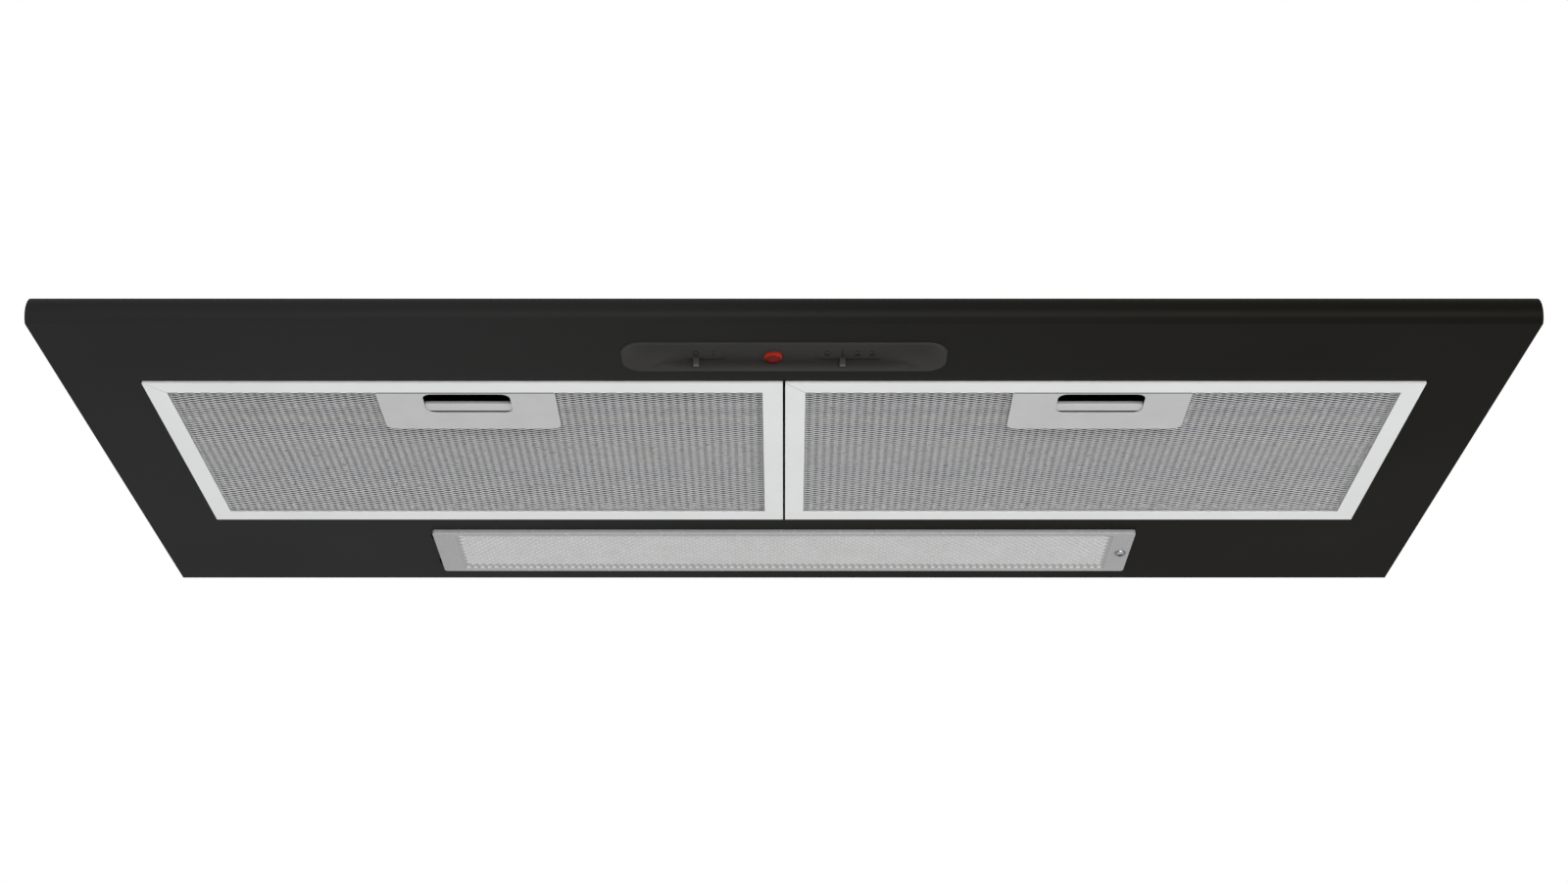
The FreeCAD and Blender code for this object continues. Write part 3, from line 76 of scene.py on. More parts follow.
# ------------------------------------------------------------------ sizes and colours
class HoodSizes(bpy.types.PropertyGroup):
    """Sizes of the detail that the design leaves to the finishing"""

    mesh_long: FloatProperty(
        name="Mesh long pitch", description="Long way of one diamond of the filter's expanded sheet",
        default=10.2 * MM, unit="LENGTH")
    mesh_short: FloatProperty(
        name="Mesh short pitch", description="Short way of one diamond",
        default=2.95 * MM, unit="LENGTH")
    strand_wide: FloatProperty(
        name="Strand width", description="Width of one strand of the expanded sheet",
        default=0.50 * MM, unit="LENGTH")
    strand_thick: FloatProperty(
        name="Strand thickness", description="Thickness of the expanded sheet's metal",
        default=0.15 * MM, unit="LENGTH")
    strand_tilt: FloatProperty(
        name="Strand tilt", description="How far the strands lean out of the sheet",
        default=math.radians(10), subtype="ANGLE")
    bond_long: FloatProperty(
        name="Bond length", description="Length of the joint between two diamonds",
        default=2.0 * MM, unit="LENGTH")
    prism_wide: FloatProperty(
        name="Prism width", description="Lamp cover prisms, left to right",
        default=5.1 * MM, unit="LENGTH")
    prism_deep: FloatProperty(
        name="Prism depth", description="Lamp cover prisms, front to back",
        default=5.8 * MM, unit="LENGTH")
    prism_high: FloatProperty(
        name="Prism height", description="Lamp cover prisms",
        default=1.15 * MM, unit="LENGTH")
    field_front: FloatProperty(
        name="Plain front border", description="Lamp cover's plain strip in front of the prisms",
        default=4.0 * MM, unit="LENGTH")
    field_rear: FloatProperty(
        name="Plain rear border", description="Lamp cover's plain strip behind the prisms",
        default=3.0 * MM, unit="LENGTH")
    field_end: FloatProperty(
        name="Plain end block", description="Lamp cover's plain blocks at both ends",
        default=15.2 * MM, unit="LENGTH")
    plain_right: FloatProperty(
        name="Plain right band", description="Lamp cover's sunk band right of the prisms",
        default=0.3 * MM, unit="LENGTH")
    bead_back: FloatProperty(
        name="Bead row", description="Room for the row of beads behind the prisms",
        default=5.2 * MM, unit="LENGTH")
    digit_high: FloatProperty(
        name="Digit height", description="Raised digits on the control panel",
        default=6.2 * MM, unit="LENGTH")
    digit_raise: FloatProperty(
        name="Digit relief", description="How far the digits stand out",
        default=0.22 * MM, unit="LENGTH")
    fan_steps: IntProperty(
        name="Fan steps", description="Highest digit at the fan switch", default=3, min=1, max=9)


class HoodFinishes(bpy.types.PropertyGroup):
    """Base colours of the finishes"""

    enamel: FloatVectorProperty(
        name="Enamel", description="Satin enamel of the shell", subtype="COLOR", size=3,
        default=(0.0150, 0.0151, 0.0149))
    # painted shade: the enamel's darker colour at the right end, standing for the weaker light there
    enamel_far: FloatVectorProperty(
        name="Enamel, right end", description="Warmer tone the enamel drifts to", subtype="COLOR",
        size=3, default=(0.0053, 0.0048, 0.0031))
    strip: FloatVectorProperty(
        name="Filter strip", description="Folded aluminium strip round a filter", subtype="COLOR",
        size=3, default=(0.765, 0.775, 0.770))
    strand: FloatVectorProperty(
        name="Filter mesh", description="Expanded aluminium sheet", subtype="COLOR", size=3,
        default=(0.94, 0.94, 0.94))
    handle: FloatVectorProperty(
        name="Handle", description="Painted handle plates", subtype="COLOR", size=3,
        default=(0.445, 0.445, 0.445))
    cover: FloatVectorProperty(
        name="Lamp cover", description="Frosted clear moulding", subtype="COLOR", size=3,
        default=(0.375, 0.375, 0.374))
    panel: FloatVectorProperty(
        name="Control panel", description="Dark grey moulding", subtype="COLOR", size=3,
        default=(0.0290, 0.0281, 0.0266))
    indicator: FloatVectorProperty(
        name="Indicator", description="Red lens", subtype="COLOR", size=3,
        default=(0.10, 0.002, 0.001))


def sizes():
    return bpy.context.scene.hood_sizes


def finishes():
    return bpy.context.scene.hood_finishes


# ------------------------------------------------------------------ materials
class Paint:
    """A material under construction: the shader, and helpers that wire noise into it."""

    def __init__(self, name, colour, rough, metal=0.0):
        self.mat = bpy.data.materials.new(name)
        self.mat.use_nodes = True
        self.tree = self.mat.node_tree
        self.shader = self.tree.nodes["Principled BSDF"]
        self.set("Base Color", (*colour, 1.0))
        self.set("Roughness", rough)
        self.set("Metallic", metal)
        self.mat.diffuse_color = (*colour, 1.0)

    def set(self, socket, value):
        self.shader.inputs[socket].default_value = value
        return self

    def node(self, kind, **values):
        made = self.tree.nodes.new(kind)
        for key, value in values.items():
            made.inputs[key.replace("_", " ")].default_value = value
        return made

    def link(self, a, b):
        self.tree.links.new(a, b)

    def place(self, stretch=(1, 1, 1)):
        """Object coordinates, stretched."""
        coords = self.tree.nodes.new("ShaderNodeTexCoord")
        mapping = self.node("ShaderNodeMapping", Scale=stretch)
        self.link(coords.outputs["Object"], mapping.inputs["Vector"])
        return mapping.outputs["Vector"]

    def noise(self, scale, detail, stretch=(1, 1, 1)):
        made = self.node("ShaderNodeTexNoise", Scale=scale, Detail=detail)
        self.link(self.place(stretch), made.inputs["Vector"])
        return made.outputs["Fac"]

    def remap(self, value, start, end, low=0.0, high=1.0, way="LINEAR"):
        """Turn the range from start to end into the range from low to high."""
        made = self.node("ShaderNodeMapRange", From_Min=start, From_Max=end, To_Min=low, To_Max=high)
        made.interpolation_type = way
        self.link(value, made.inputs["Value"])
        return made.outputs["Result"]

    def spread(self, value, low, high):
        """Stretch a noise value over the range from low to high."""
        return self.remap(value, *NOISE_RANGE, low, high)

    def blend(self, first, second, share):
        """Base colour goes from the first colour to the second with the share."""
        mix = self.tree.nodes.new("ShaderNodeMix")
        mix.data_type = "RGBA"
        mix.inputs[MIX_A].default_value = first
        mix.inputs[MIX_B].default_value = second
        self.link(share, mix.inputs[0])
        self.link(mix.outputs[MIX_OUT], self.shader.inputs["Base Color"])
        return self

    def base_colour(self):
        return self.shader.inputs["Base Color"].default_value[:]

    def rough_by(self, value, low, high):
        self.link(self.spread(value, low, high), self.shader.inputs["Roughness"])
        return self

    def shade_by(self, value, low, high):
        """Base colour varies between two multiples of itself."""
        colour = self.base_colour()[:3]
        darker = [c * low for c in colour] + [1.0]
        lighter = [min(1.0, c * high) for c in colour] + [1.0]
        return self.blend(darker, lighter, self.spread(value, 0.0, 1.0))

    def drift_to(self, colour, start, end):
        """Base colour changes slowly from left to right, with a little mottle: painted shade across the
        part.
        """
        split = self.tree.nodes.new("ShaderNodeSeparateXYZ")
        self.link(self.place(), split.inputs["Vector"])
        across = self.remap(split.outputs["X"], start, end, way="SMOOTHSTEP")
        mottle = self.node("ShaderNodeMath")
        self.link(across, mottle.inputs[0])
        self.link(self.spread(self.noise(2.3, 1.0), -0.12, 0.12), mottle.inputs[1])
        return self.blend(self.base_colour(), (*colour, 1.0), mottle.outputs[0])

    def ring_to(self, colour, centre, start, end):
        """Base colour changes from an upright axis outwards."""
        far = self.tree.nodes.new("ShaderNodeVectorMath")
        far.operation = "DISTANCE"
        self.link(self.place((1, 1, 0)), far.inputs[0])
        far.inputs[1].default_value = (*centre, 0)
        outwards = self.remap(far.outputs["Value"], start, end)
        return self.blend(self.base_colour(), (*colour, 1.0), outwards)

    def bump(self, value, depth, strength):
        made = self.node("ShaderNodeBump", Strength=strength, Distance=depth)
        self.link(value, made.inputs["Height"])
        self.link(made.outputs["Normal"], self.shader.inputs["Normal"])
        return self


def enamel_paint():
    """Satin enamel: fine orange peel, a slow drift of gloss, and painted shade that darkens it towards the
    right end.
    """
    paint = Paint("satin_enamel", finishes().enamel, 0.38)
    paint.set("Specular IOR Level", 0.03)
    paint.rough_by(paint.noise(7.0, 2.0), 0.33, 0.43)
    # painted shade: the enamel darkens from left to right, with a little mottle
    paint.drift_to(finishes().enamel_far, -0.3, 0.35)
    paint.bump(paint.noise(1500.0, 2.0), 0.00003, 0.35)
    return paint.mat


def strip_paint():
    """Satin anodised aluminium strip with a faint rolling grain along its length."""
    paint = Paint("satin_strip", finishes().strip, 0.42, 0.35)
    paint.rough_by(paint.noise(300.0, 2.0), 0.38, 0.48)
    paint.shade_by(paint.noise(14.0, 3.0), 0.97, 1.02)
    paint.bump(paint.noise(900.0, 3.0), 0.00002, 0.3)
    return paint.mat


def strand_paint():
    """Bright mill aluminium that differs a little from strand to strand."""
    paint = Paint("expanded_sheet", finishes().strand, 0.34, 0.25)
    paint.shade_by(paint.noise(420.0, 2.0), 0.80, 1.15)
    paint.rough_by(paint.noise(260.0, 2.0), 0.26, 0.42)
    return paint.mat


def inner_sheet_paint():
    """Aluminium foil deep in the filter: rough, and near black as painted shade inside the filter."""
    # painted shade: the foil's near-black colour stands for the shade deep in the filter
    paint = Paint("inner_foil_shaded", (0.018, 0.018, 0.018), 0.6)
    paint.shade_by(paint.noise(700.0, 3.0), 0.45, 1.3)
    paint.bump(paint.noise(900.0, 3.0), 0.0002, 0.6)
    return paint.mat


def upper_sheet_paint():
    """Expanded sheet on the fan side: pale strands round small dark gaps, the gaps painted shade in the
    openings.
    """
    s = sizes()
    paint = Paint("upper_sheet", (0.42, 0.42, 0.42), 0.4, 0.25)
    gaps = paint.node("ShaderNodeTexVoronoi", Scale=1.0, Randomness=0.25)
    paint.link(paint.place((2 / s.mesh_long, 2 / s.mesh_short, 0)), gaps.inputs["Vector"])
    # painted shade: dark spots at the Voronoi cell centres stand for the shade seen through the sheet's
    # openings
    paint.shade_by(gaps.outputs["Distance"], 0.15, 1.25)
    paint.rough_by(paint.noise(300.0, 2.0), 0.35, 0.50)
    return paint.mat


def handle_paint():
    """Grey powder coat with a fine grain."""
    paint = Paint("handle_coat", finishes().handle, 0.45)
    paint.shade_by(paint.noise(45.0, 3.0), 0.97, 1.03)
    paint.rough_by(paint.noise(200.0, 2.0), 0.40, 0.50)
    paint.bump(paint.noise(2600.0, 2.0), 0.00002, 0.4)
    return paint.mat


def cover_paint(name="lamp_cover", painted_light_gain=1.0):
    """Frosted clear plastic; a gain above one makes a brighter copy for the prisms, painted light for the
    light they scatter more than the plain faces.
    """
    paint = Paint(name, [c * painted_light_gain for c in finishes().cover], 0.22)
    paint.set("Transmission Weight", 0.18).set("IOR", 1.49)
    paint.shade_by(paint.noise(55.0, 2.0), 0.97, 1.03)
    paint.rough_by(paint.noise(120.0, 2.0), 0.18, 0.30)
    return paint.mat


def moulded_paint(name, colour, rough=0.45, sheen=0.5):
    """Spark-eroded plastic moulding."""
    paint = Paint(name, colour, rough)
    paint.set("Specular IOR Level", sheen)
    paint.rough_by(paint.noise(60.0, 2.0), rough - 0.05, rough + 0.06)
    paint.shade_by(paint.noise(30.0, 2.0), 0.94, 1.06)
    paint.bump(paint.noise(1800.0, 2.0), 0.00003, 0.45)
    return paint.mat


def red_paint(centre, radius):
    """Clear red lens, deep red in the middle; the brighter red round its rim is a painted reflection."""
    paint = Paint("red_lens", finishes().indicator, 0.25)
    paint.set("Specular IOR Level", 0.10)
    paint.rough_by(paint.noise(60.0, 2.0), 0.20, 0.30)
    # painted reflection: base colour turns brighter orange-red towards the rim
    return paint.ring_to((0.52, 0.035, 0.015), centre, radius * 0.80, radius).mat


def metal_paint(name, colour, rough, stretch=(1, 1, 1)):
    """Bare or plated metal with a grain in one direction."""
    paint = Paint(name, colour, rough, 1.0)
    grain = paint.noise(300.0, 3.0, stretch)
    paint.rough_by(grain, rough * 0.8, rough * 1.25)
    paint.shade_by(grain, 0.92, 1.06)
    paint.bump(grain, 0.00002, 0.25)
    return paint.mat


def zinc_paint():
    """Galvanised sheet with its spangle."""
    paint = Paint("galvanised", (0.46, 0.48, 0.50), 0.38, 0.9)
    spangle = paint.node("ShaderNodeTexVoronoi", Scale=130.0)
    paint.link(paint.place(), spangle.inputs["Vector"])
    split = paint.tree.nodes.new("ShaderNodeSeparateColor")
    paint.link(spangle.outputs["Color"], split.inputs["Color"])
    paint.shade_by(split.outputs["Red"], 0.8, 1.15)
    paint.rough_by(split.outputs["Green"], 0.30, 0.48)
    return paint.mat


def white_paint(name="white_enamel", rough=0.3):
    """White stove enamel."""
    paint = Paint(name, (0.80, 0.80, 0.78), rough)
    paint.rough_by(paint.noise(20.0, 2.0), rough - 0.05, rough + 0.08)
    paint.bump(paint.noise(700.0, 2.0), 0.00003, 0.3)
    return paint.mat


def tube_paint():
    """Phosphor-coated glass tube, unlit."""
    paint = Paint("phosphor_tube", (0.88, 0.88, 0.86), 0.16)
    paint.set("Coat Weight", 0.7)
    paint.shade_by(paint.noise(30.0, 2.0), 0.97, 1.02)
    return paint.mat


def wear(node, mat):
    """Put a finish on a CAD node."""
    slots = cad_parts[node].data.materials
    slots.clear()
    slots.append(mat)


def soften(node, radius):
    """Round a CAD node's hard edges with live modifiers."""
    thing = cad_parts[node]
    weld = thing.modifiers.new("Weld", "WELD")
    weld.merge_threshold = 0.00001
    bevel = thing.modifiers.new("Round", "BEVEL")
    bevel.width = radius
    bevel.segments = 3
    bevel.limit_method = "ANGLE"
    bevel.angle_limit = math.radians(40)
    bevel.harden_normals = False
    bevel.use_clamp_overlap = True


# ------------------------------------------------------------------ mesh helpers
def add_piece(name, mesh, mat, body, smooth=None):
    """A finished piece: object at the origin, one material, riding on a body."""
    mesh.materials.clear()
    mesh.materials.append(mat)
    thing = bpy.data.objects.new(name, mesh)
    bpy.context.scene.collection.objects.link(thing)
    if smooth is not None:
        mesh.shade_smooth()
        mesh.set_sharp_from_angle(angle=math.radians(smooth))
    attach(thing, body)
    return thing


def plain_mesh(bm, name):
    """Turn an edit mesh into a mesh, just as it is."""
    mesh = bpy.data.meshes.new(name)
    bm.to_mesh(mesh)
    bm.free()
    return mesh


def facing_mesh(bm, name):
    """The same, with its faces turned outwards."""
    bmesh.ops.recalc_face_normals(bm, faces=bm.faces)
    return plain_mesh(bm, name)


def mesh_from(bm, name):
    """The same, with coinciding corners joined first."""
    bmesh.ops.remove_doubles(bm, verts=bm.verts, dist=1e-7)
    return facing_mesh(bm, name)


def middle_of(low, high):
    """Middle of a box, seen from above."""
    return (low[0] + high[0]) / 2, (low[1] + high[1]) / 2


def ring(bm, centre, radius, z, steps=CIRCLE_STEPS):
    """Corners of a level circle."""
    return [bm.verts.new((centre[0] + radius * math.cos(2 * math.pi * i / steps),
                          centre[1] + radius * math.sin(2 * math.pi * i / steps), z))
            for i in range(steps)]


def beam(bm, start, end, wide, thick):
    """Closed bar from start to end with the given half-width and half-thickness vectors."""
    rings = []
    for at in (start, end):
        rings.append([bm.verts.new(at + wide * a + thick * b)
                      for a, b in ((-1, -1), (1, -1), (1, 1), (-1, 1))])
    bm.faces.new(rings[0][::-1])
    bm.faces.new(rings[1])
    for i in range(4):
        j = (i + 1) % 4
        bm.faces.new((rings[0][i], rings[0][j], rings[1][j], rings[1][i]))


def round_outline(low, high, radius, steps=6):
    """Points round a rectangle with round corners, anticlockwise from above."""
    points = []
    corners = ((high[0], high[1], 0), (low[0], high[1], 90), (low[0], low[1], 180),
               (high[0], low[1], 270))
    for x, y, turn in corners:
        cx = x - radius if turn in (0, 270) else x + radius
        cy = y - radius if turn in (0, 90) else y + radius
        for i in range(steps + 1):
            angle = math.radians(turn + 90 * i / steps)
            points.append(Vector((cx + radius * math.cos(angle), cy + radius * math.sin(angle))))
    return points


def loop(bm, outline, z):
    """Corners of an outline at a height."""
    return [bm.verts.new((p.x, p.y, z)) for p in outline]


def bridge(bm, first, second):
    """Skin between two equal loops."""
    count = len(first)
    for i in range(count):
        j = (i + 1) % count
        bm.faces.new((first[i], first[j], second[j], second[i]))


def stack(bm, loops):
    """Skin a row of equal loops, with both ends filled."""
    for first, second in zip(loops, loops[1:]):
        bridge(bm, first, second)
    bm.faces.new(loops[0][::-1])
    bm.faces.new(loops[-1])


# ------------------------------------------------------------------ geometry node trees
def new_tree(name, sockets):
    """An empty tree with the named inputs and one geometry output."""
    tree = bpy.data.node_groups.new(name, "GeometryNodeTree")
    for label, kind in sockets:
        tree.interface.new_socket(label, in_out="INPUT", socket_type=kind)
    tree.interface.new_socket("Geometry", in_out="OUTPUT", socket_type="NodeSocketGeometry")
    return tree


def field_tree():
    """Copies one cell over a rectangular field, except inside a keep-out."""
    tree = new_tree("cell_field", (
        ("Cell", "NodeSocketObject"), ("Columns", "NodeSocketInt"), ("Rows", "NodeSocketInt"),
        ("Width", "NodeSocketFloat"), ("Depth", "NodeSocketFloat"),
        ("Centre", "NodeSocketVector"), ("Keep-out Low", "NodeSocketVector"),
        ("Keep-out High", "NodeSocketVector"), ("Finish", "NodeSocketMaterial")))
    nodes, link = tree.nodes, tree.links.new
    given = nodes.new("NodeGroupInput").outputs
    grid = nodes.new("GeometryNodeMeshGrid")
    link(given["Width"], grid.inputs["Size X"])
    link(given["Depth"], grid.inputs["Size Y"])
    link(given["Columns"], grid.inputs["Vertices X"])
    link(given["Rows"], grid.inputs["Vertices Y"])
    shift = nodes.new("GeometryNodeSetPosition")
    link(grid.outputs["Mesh"], shift.inputs["Geometry"])
    link(given["Centre"], shift.inputs["Offset"])
    where = nodes.new("GeometryNodeInputPosition")
    tests = []
    for edge, operation in (("Keep-out Low", "GREATER_THAN"), ("Keep-out High", "LESS_THAN")):
        compare = nodes.new("FunctionNodeCompare")
        compare.data_type = "VECTOR"
        compare.mode = "ELEMENT"
        compare.operation = operation
        pair = [s for s in compare.inputs if s.enabled and s.type == "VECTOR"]
        link(where.outputs["Position"], pair[0])
        link(given[edge], pair[1])
        tests.append(compare.outputs["Result"])
    both = nodes.new("FunctionNodeBooleanMath")
    both.operation = "AND"
    link(tests[0], both.inputs[0])
    link(tests[1], both.inputs[1])
    clear = nodes.new("GeometryNodeDeleteGeometry")
    clear.domain = "POINT"
    link(shift.outputs["Geometry"], clear.inputs["Geometry"])
    link(both.outputs["Boolean"], clear.inputs["Selection"])
    cell = nodes.new("GeometryNodeObjectInfo")
    link(given["Cell"], cell.inputs["Object"])
    copies = nodes.new("GeometryNodeInstanceOnPoints")
    link(clear.outputs["Geometry"], copies.inputs["Points"])
    link(cell.outputs["Geometry"], copies.inputs["Instance"])
    real = nodes.new("GeometryNodeRealizeInstances")
    link(copies.outputs["Instances"], real.inputs["Geometry"])
    finish = nodes.new("GeometryNodeSetMaterial")
    link(real.outputs["Geometry"], finish.inputs["Geometry"])
    link(given["Finish"], finish.inputs["Material"])
    link(finish.outputs["Geometry"], nodes.new("NodeGroupOutput").inputs["Geometry"])
    return tree


def run_tree(name, tree, values):
    """Evaluate a tree on an empty mesh and return the result as a plain mesh."""
    holder = bpy.data.objects.new(name + "_holder", bpy.data.meshes.new(name + "_seed"))
    bpy.context.scene.collection.objects.link(holder)
    maker = holder.modifiers.new("Maker", "NODES")
    maker.node_group = tree
    for item in tree.interface.items_tree:
        if item.in_out == "INPUT":
            maker[item.identifier] = values[item.name]
    depsgraph = bpy.context.evaluated_depsgraph_get()
    mesh = bpy.data.meshes.new_from_object(holder.evaluated_get(depsgraph))
    mesh.name = name
    holder.modifiers.remove(maker)
    bpy.data.objects.remove(holder)
    return mesh


def field_of(name, cell_mesh, low, high, pitch, height, keep_out, mat):
    """Fill a rectangle with copies of a cell and return the mesh."""
    cell = bpy.data.objects.new(name + "_cell", cell_mesh)
    bpy.context.scene.collection.objects.link(cell)
    columns = max(1, int((high[0] - low[0]) / pitch[0]) + 1)
    rows = max(1, int((high[1] - low[1]) / pitch[1]) + 1)
    middle = (*middle_of(low, high), height)
    mesh = run_tree(name, field_tree(), {
        "Cell": cell, "Columns": columns, "Rows": rows,
        "Width": (columns - 1) * pitch[0], "Depth": (rows - 1) * pitch[1],
        "Centre": middle, "Keep-out Low": keep_out[0], "Keep-out High": keep_out[1],
        "Finish": mat})
    bpy.data.objects.remove(cell)
    return mesh


# ------------------------------------------------------------------ grease filters
def diamond_cell():
    """One diamond of expanded sheet: two bonds and the four leaning strands between them."""
    s = sizes()
    lean = Vector((0, math.cos(s.strand_tilt), math.sin(s.strand_tilt)))
    across = Vector((0, -math.sin(s.strand_tilt), math.cos(s.strand_tilt)))
    wide, thick = lean * s.strand_wide / 2, across * s.strand_thick / 2
    half_bond = s.bond_long / 2
    bond_reach, bond_wide = half_bond * 1.1, wide * 1.75
    foot_x, foot_y = half_bond * 0.9, s.strand_wide * 0.3
    bm = bmesh.new()
    for x, y in ((0, 0), (s.mesh_long / 2, s.mesh_short / 2)):
        middle = Vector((x, y, 0))
        reach = Vector((bond_reach, 0, 0))
        beam(bm, middle - reach, middle + reach, bond_wide, thick)
    for sx in (-1, 1):
        for sy in (-1, 1):
            start = Vector((foot_x * sx, foot_y * sy, 0))
            end = Vector(((s.mesh_long / 2 - foot_x) * sx, (s.mesh_short / 2 - foot_y) * sy, 0))
            beam(bm, start, end, wide, thick)
    return plain_mesh(bm, "diamond_cell")


class HOOD_OT_filters(bpy.types.Operator):
    """Expanded mesh, folded strips and inner foil of both grease filters"""

    bl_idname = "hood.filters"
    bl_label = "Grease filters"

    def execute(self, context):
        s = sizes()
        strip, strand, foil = strip_paint(), strand_paint(), inner_sheet_paint()
        upper = upper_sheet_paint()
        cell = diamond_cell()
        edge = s.mesh_long * 0.8
        for side in SIDES:
            sheet = f"filter_mesh_lower_{side}"
            low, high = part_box(sheet)
            inner_low = (low[0] + edge, low[1] + edge)
            inner_high = (high[0] - edge, high[1] - edge)
            cup_low, cup_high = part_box(f"latch_cup_{side}")
            reach = Vector((s.mesh_long / 2, s.mesh_short * 1.2, 1))
            keep_out = (Vector(cup_low) - reach, Vector(cup_high) + reach)
            mesh = field_of(f"outer_mesh_{side}", cell, inner_low, inner_high,
                            (s.mesh_long, s.mesh_short), (low[2] + high[2]) / 2, keep_out, strand)
            piece = add_piece(f"outer_mesh_{side}", mesh, strand, f"filter_{side}")
            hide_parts(sheet)
            for node, mat in (("frame", strip), ("lugs", strip), ("core", foil),
                              ("mesh_upper", upper)):
                wear(f"filter_{node}_{side}", mat)
        return {"FINISHED"}


class HOOD_OT_handles(bpy.types.Operator):
    """Handle plates, finger lips, cups and springs of the filter latches"""

    bl_idname = "hood.handles"
    bl_label = "Filter handles"

    def execute(self, context):
        coat = handle_paint()
        # black moulding, made near black as painted shade deep in the finger slot; also used for the painted
        # gap shadow below
        black_cup_and_shade_paint = moulded_paint("cup_moulding_and_slot_shade", (0.004, 0.004, 0.004), 0.55)
        wire = metal_paint("spring_wire", (0.55, 0.55, 0.55), 0.25)
        # painted shadow: a thin near-black strip under the handle plate's front edge stands for the shadow
        # in the gap between plate and filter frame
        shadow_end, shadow_half, shadow_thick, shadow_drop = 0.5 * MM, 0.35 * MM, 0.12 * MM, 0.05 * MM
        for side in SIDES:
            for node, mat in (("handle_plate", coat), ("latch_slide", coat), ("latch_cup", black_cup_and_shade_paint),
                              ("latch_spring", wire)):
                wear(f"{node}_{side}", mat)
            soften(f"handle_plate_{side}", 0.3 * MM)
            low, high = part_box(f"handle_plate_{side}")
            y, z = low[1] + shadow_half, low[2] - shadow_drop
            gap_shadow = bmesh.new()
            beam(gap_shadow, Vector((low[0] + shadow_end, y, z)), Vector((high[0] - shadow_end, y, z)),
                 Vector((0, shadow_half, 0)), Vector((0, 0, shadow_thick)))
            add_piece(f"handle_seam_{side}", mesh_from(gap_shadow, "handle_gap_shadow"), black_cup_and_shade_paint,
                      f"filter_{side}")
        return {"FINISHED"}


# ------------------------------------------------------------------ lamp
def cover_slab(low, high):
    """Lamp cover: rounded edge, sunk prism field below and a hollow above."""
    s = sizes()
    bottom, top = low[2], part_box("underside_panel")[0][2]
    round_off, round_steps = 0.8 * MM, 4
    sink, skin = 1.2 * MM, 0.9 * MM
    corner, field_corner, hollow_corner = 2.5 * MM, 0.5 * MM, 1.0 * MM
    wall = 1.5 * MM
    floor = bottom + sink + skin
    left, right = -high[0], high[0]
    outer = (left, low[1]), (right, high[1])

    def outline(inset, radius):
        return round_outline((outer[0][0] + inset, outer[0][1] + inset),
                             (outer[1][0] - inset, outer[1][1] - inset), radius)

    field_low = (left + s.field_end, low[1] + s.field_front)
    field_high = (right - s.field_end, high[1] - s.field_rear)
    field = round_outline(field_low, field_high, field_corner)
    sunk = round_outline((field_low[0] + sink, field_low[1] + sink),
                         (field_high[0] - sink, field_high[1] - sink), field_corner)
    hollow = round_outline((left + s.field_end, low[1] + wall),
                           (right - s.field_end, high[1] - wall), hollow_corner)
    bm = bmesh.new()
    rows = [loop(bm, hollow, floor), loop(bm, hollow, top), loop(bm, outline(0, corner), top)]
    rows.append(loop(bm, outline(0, corner), bottom + round_off))
    for i in range(1, round_steps + 1):
        turn = math.radians(90 * i / round_steps)
        inset = round_off * (1 - math.cos(turn))
        z = bottom + round_off * (1 - math.sin(turn))
        rows.append(loop(bm, outline(inset, corner - inset), z))
    rows += [loop(bm, field, bottom), loop(bm, sunk, bottom + sink)]
    stack(bm, rows)
    return mesh_from(bm, "lamp_cover"), field_low, field_high, bottom + sink


def prism_cell():
    """A flat four-sided prism, point down, that tiles with its staggered neighbours."""
    s = sizes()
    bm = bmesh.new()
    for x, y in ((0, 0), (s.prism_wide / 2, s.prism_deep / 2)):
        tip = bm.verts.new((x, y, -s.prism_high))
        rim = [bm.verts.new((x + dx * s.prism_wide / 2, y + dy * s.prism_deep / 2, 0))
               for dx, dy in ((1, 0), (0, 1), (-1, 0), (0, -1))]
        bm.faces.new(rim)
        for i in range(4):
            bm.faces.new((rim[(i + 1) % 4], rim[i], tip))
    return facing_mesh(bm, "prism_cell")


def bead_cell():
    """Short ridge with sloping sides, point down, for the row behind the prisms."""
    s = sizes()
    wide, deep, high = s.prism_wide * 0.31, 1.3 * MM, 1.0 * MM
    crest_wide, crest_deep = wide * 0.7, deep * 0.25
    corners = ((-1, -1), (1, -1), (1, 1), (-1, 1))
    bm = bmesh.new()
    base = [bm.verts.new((x * wide, y * deep, 0)) for x, y in corners]
    crest = [bm.verts.new((x * crest_wide, y * crest_deep, -high)) for x, y in corners]
    stack(bm, [base, crest])
    return mesh_from(bm, "bead_cell")


def screw_mesh(low, high):
    """Pan-head screw with a cross recess, head down."""
    centre = middle_of(low, high)
    head, tall, shank = (high[0] - low[0]) / 2, 2.2 * MM, 2.0 * MM
    profile = ((0.35, 0.0), (0.7, 0.12), (0.9, 0.38), (1.0, 0.75), (1.0, 1.0))
    slot_turns, slot_reach, slot_half, slot_deep = (20, 110), 2.1 * MM, 0.45 * MM, 1.1 * MM
    bm = bmesh.new()
    rows = [ring(bm, centre, head * share, low[2] + tall * rise) for share, rise in profile]
    rows += [ring(bm, centre, shank, z) for z in (low[2] + tall, high[2])]
    stack(bm, rows)
    mesh = mesh_from(bm, "lens_screw_detail")
    cross = bmesh.new()
    middle = Vector((*centre, low[2]))
    for turn in slot_turns:
        along = Vector((math.cos(math.radians(turn)), math.sin(math.radians(turn)), 0))
        side = Vector((-along.y, along.x, 0)) * slot_half
        beam(cross, middle - along * slot_reach, middle + along * slot_reach, side,
             Vector((0, 0, slot_deep)))
    return cut_mesh(mesh, facing_mesh(cross, "cross_recess"), "lens_screw_detail")


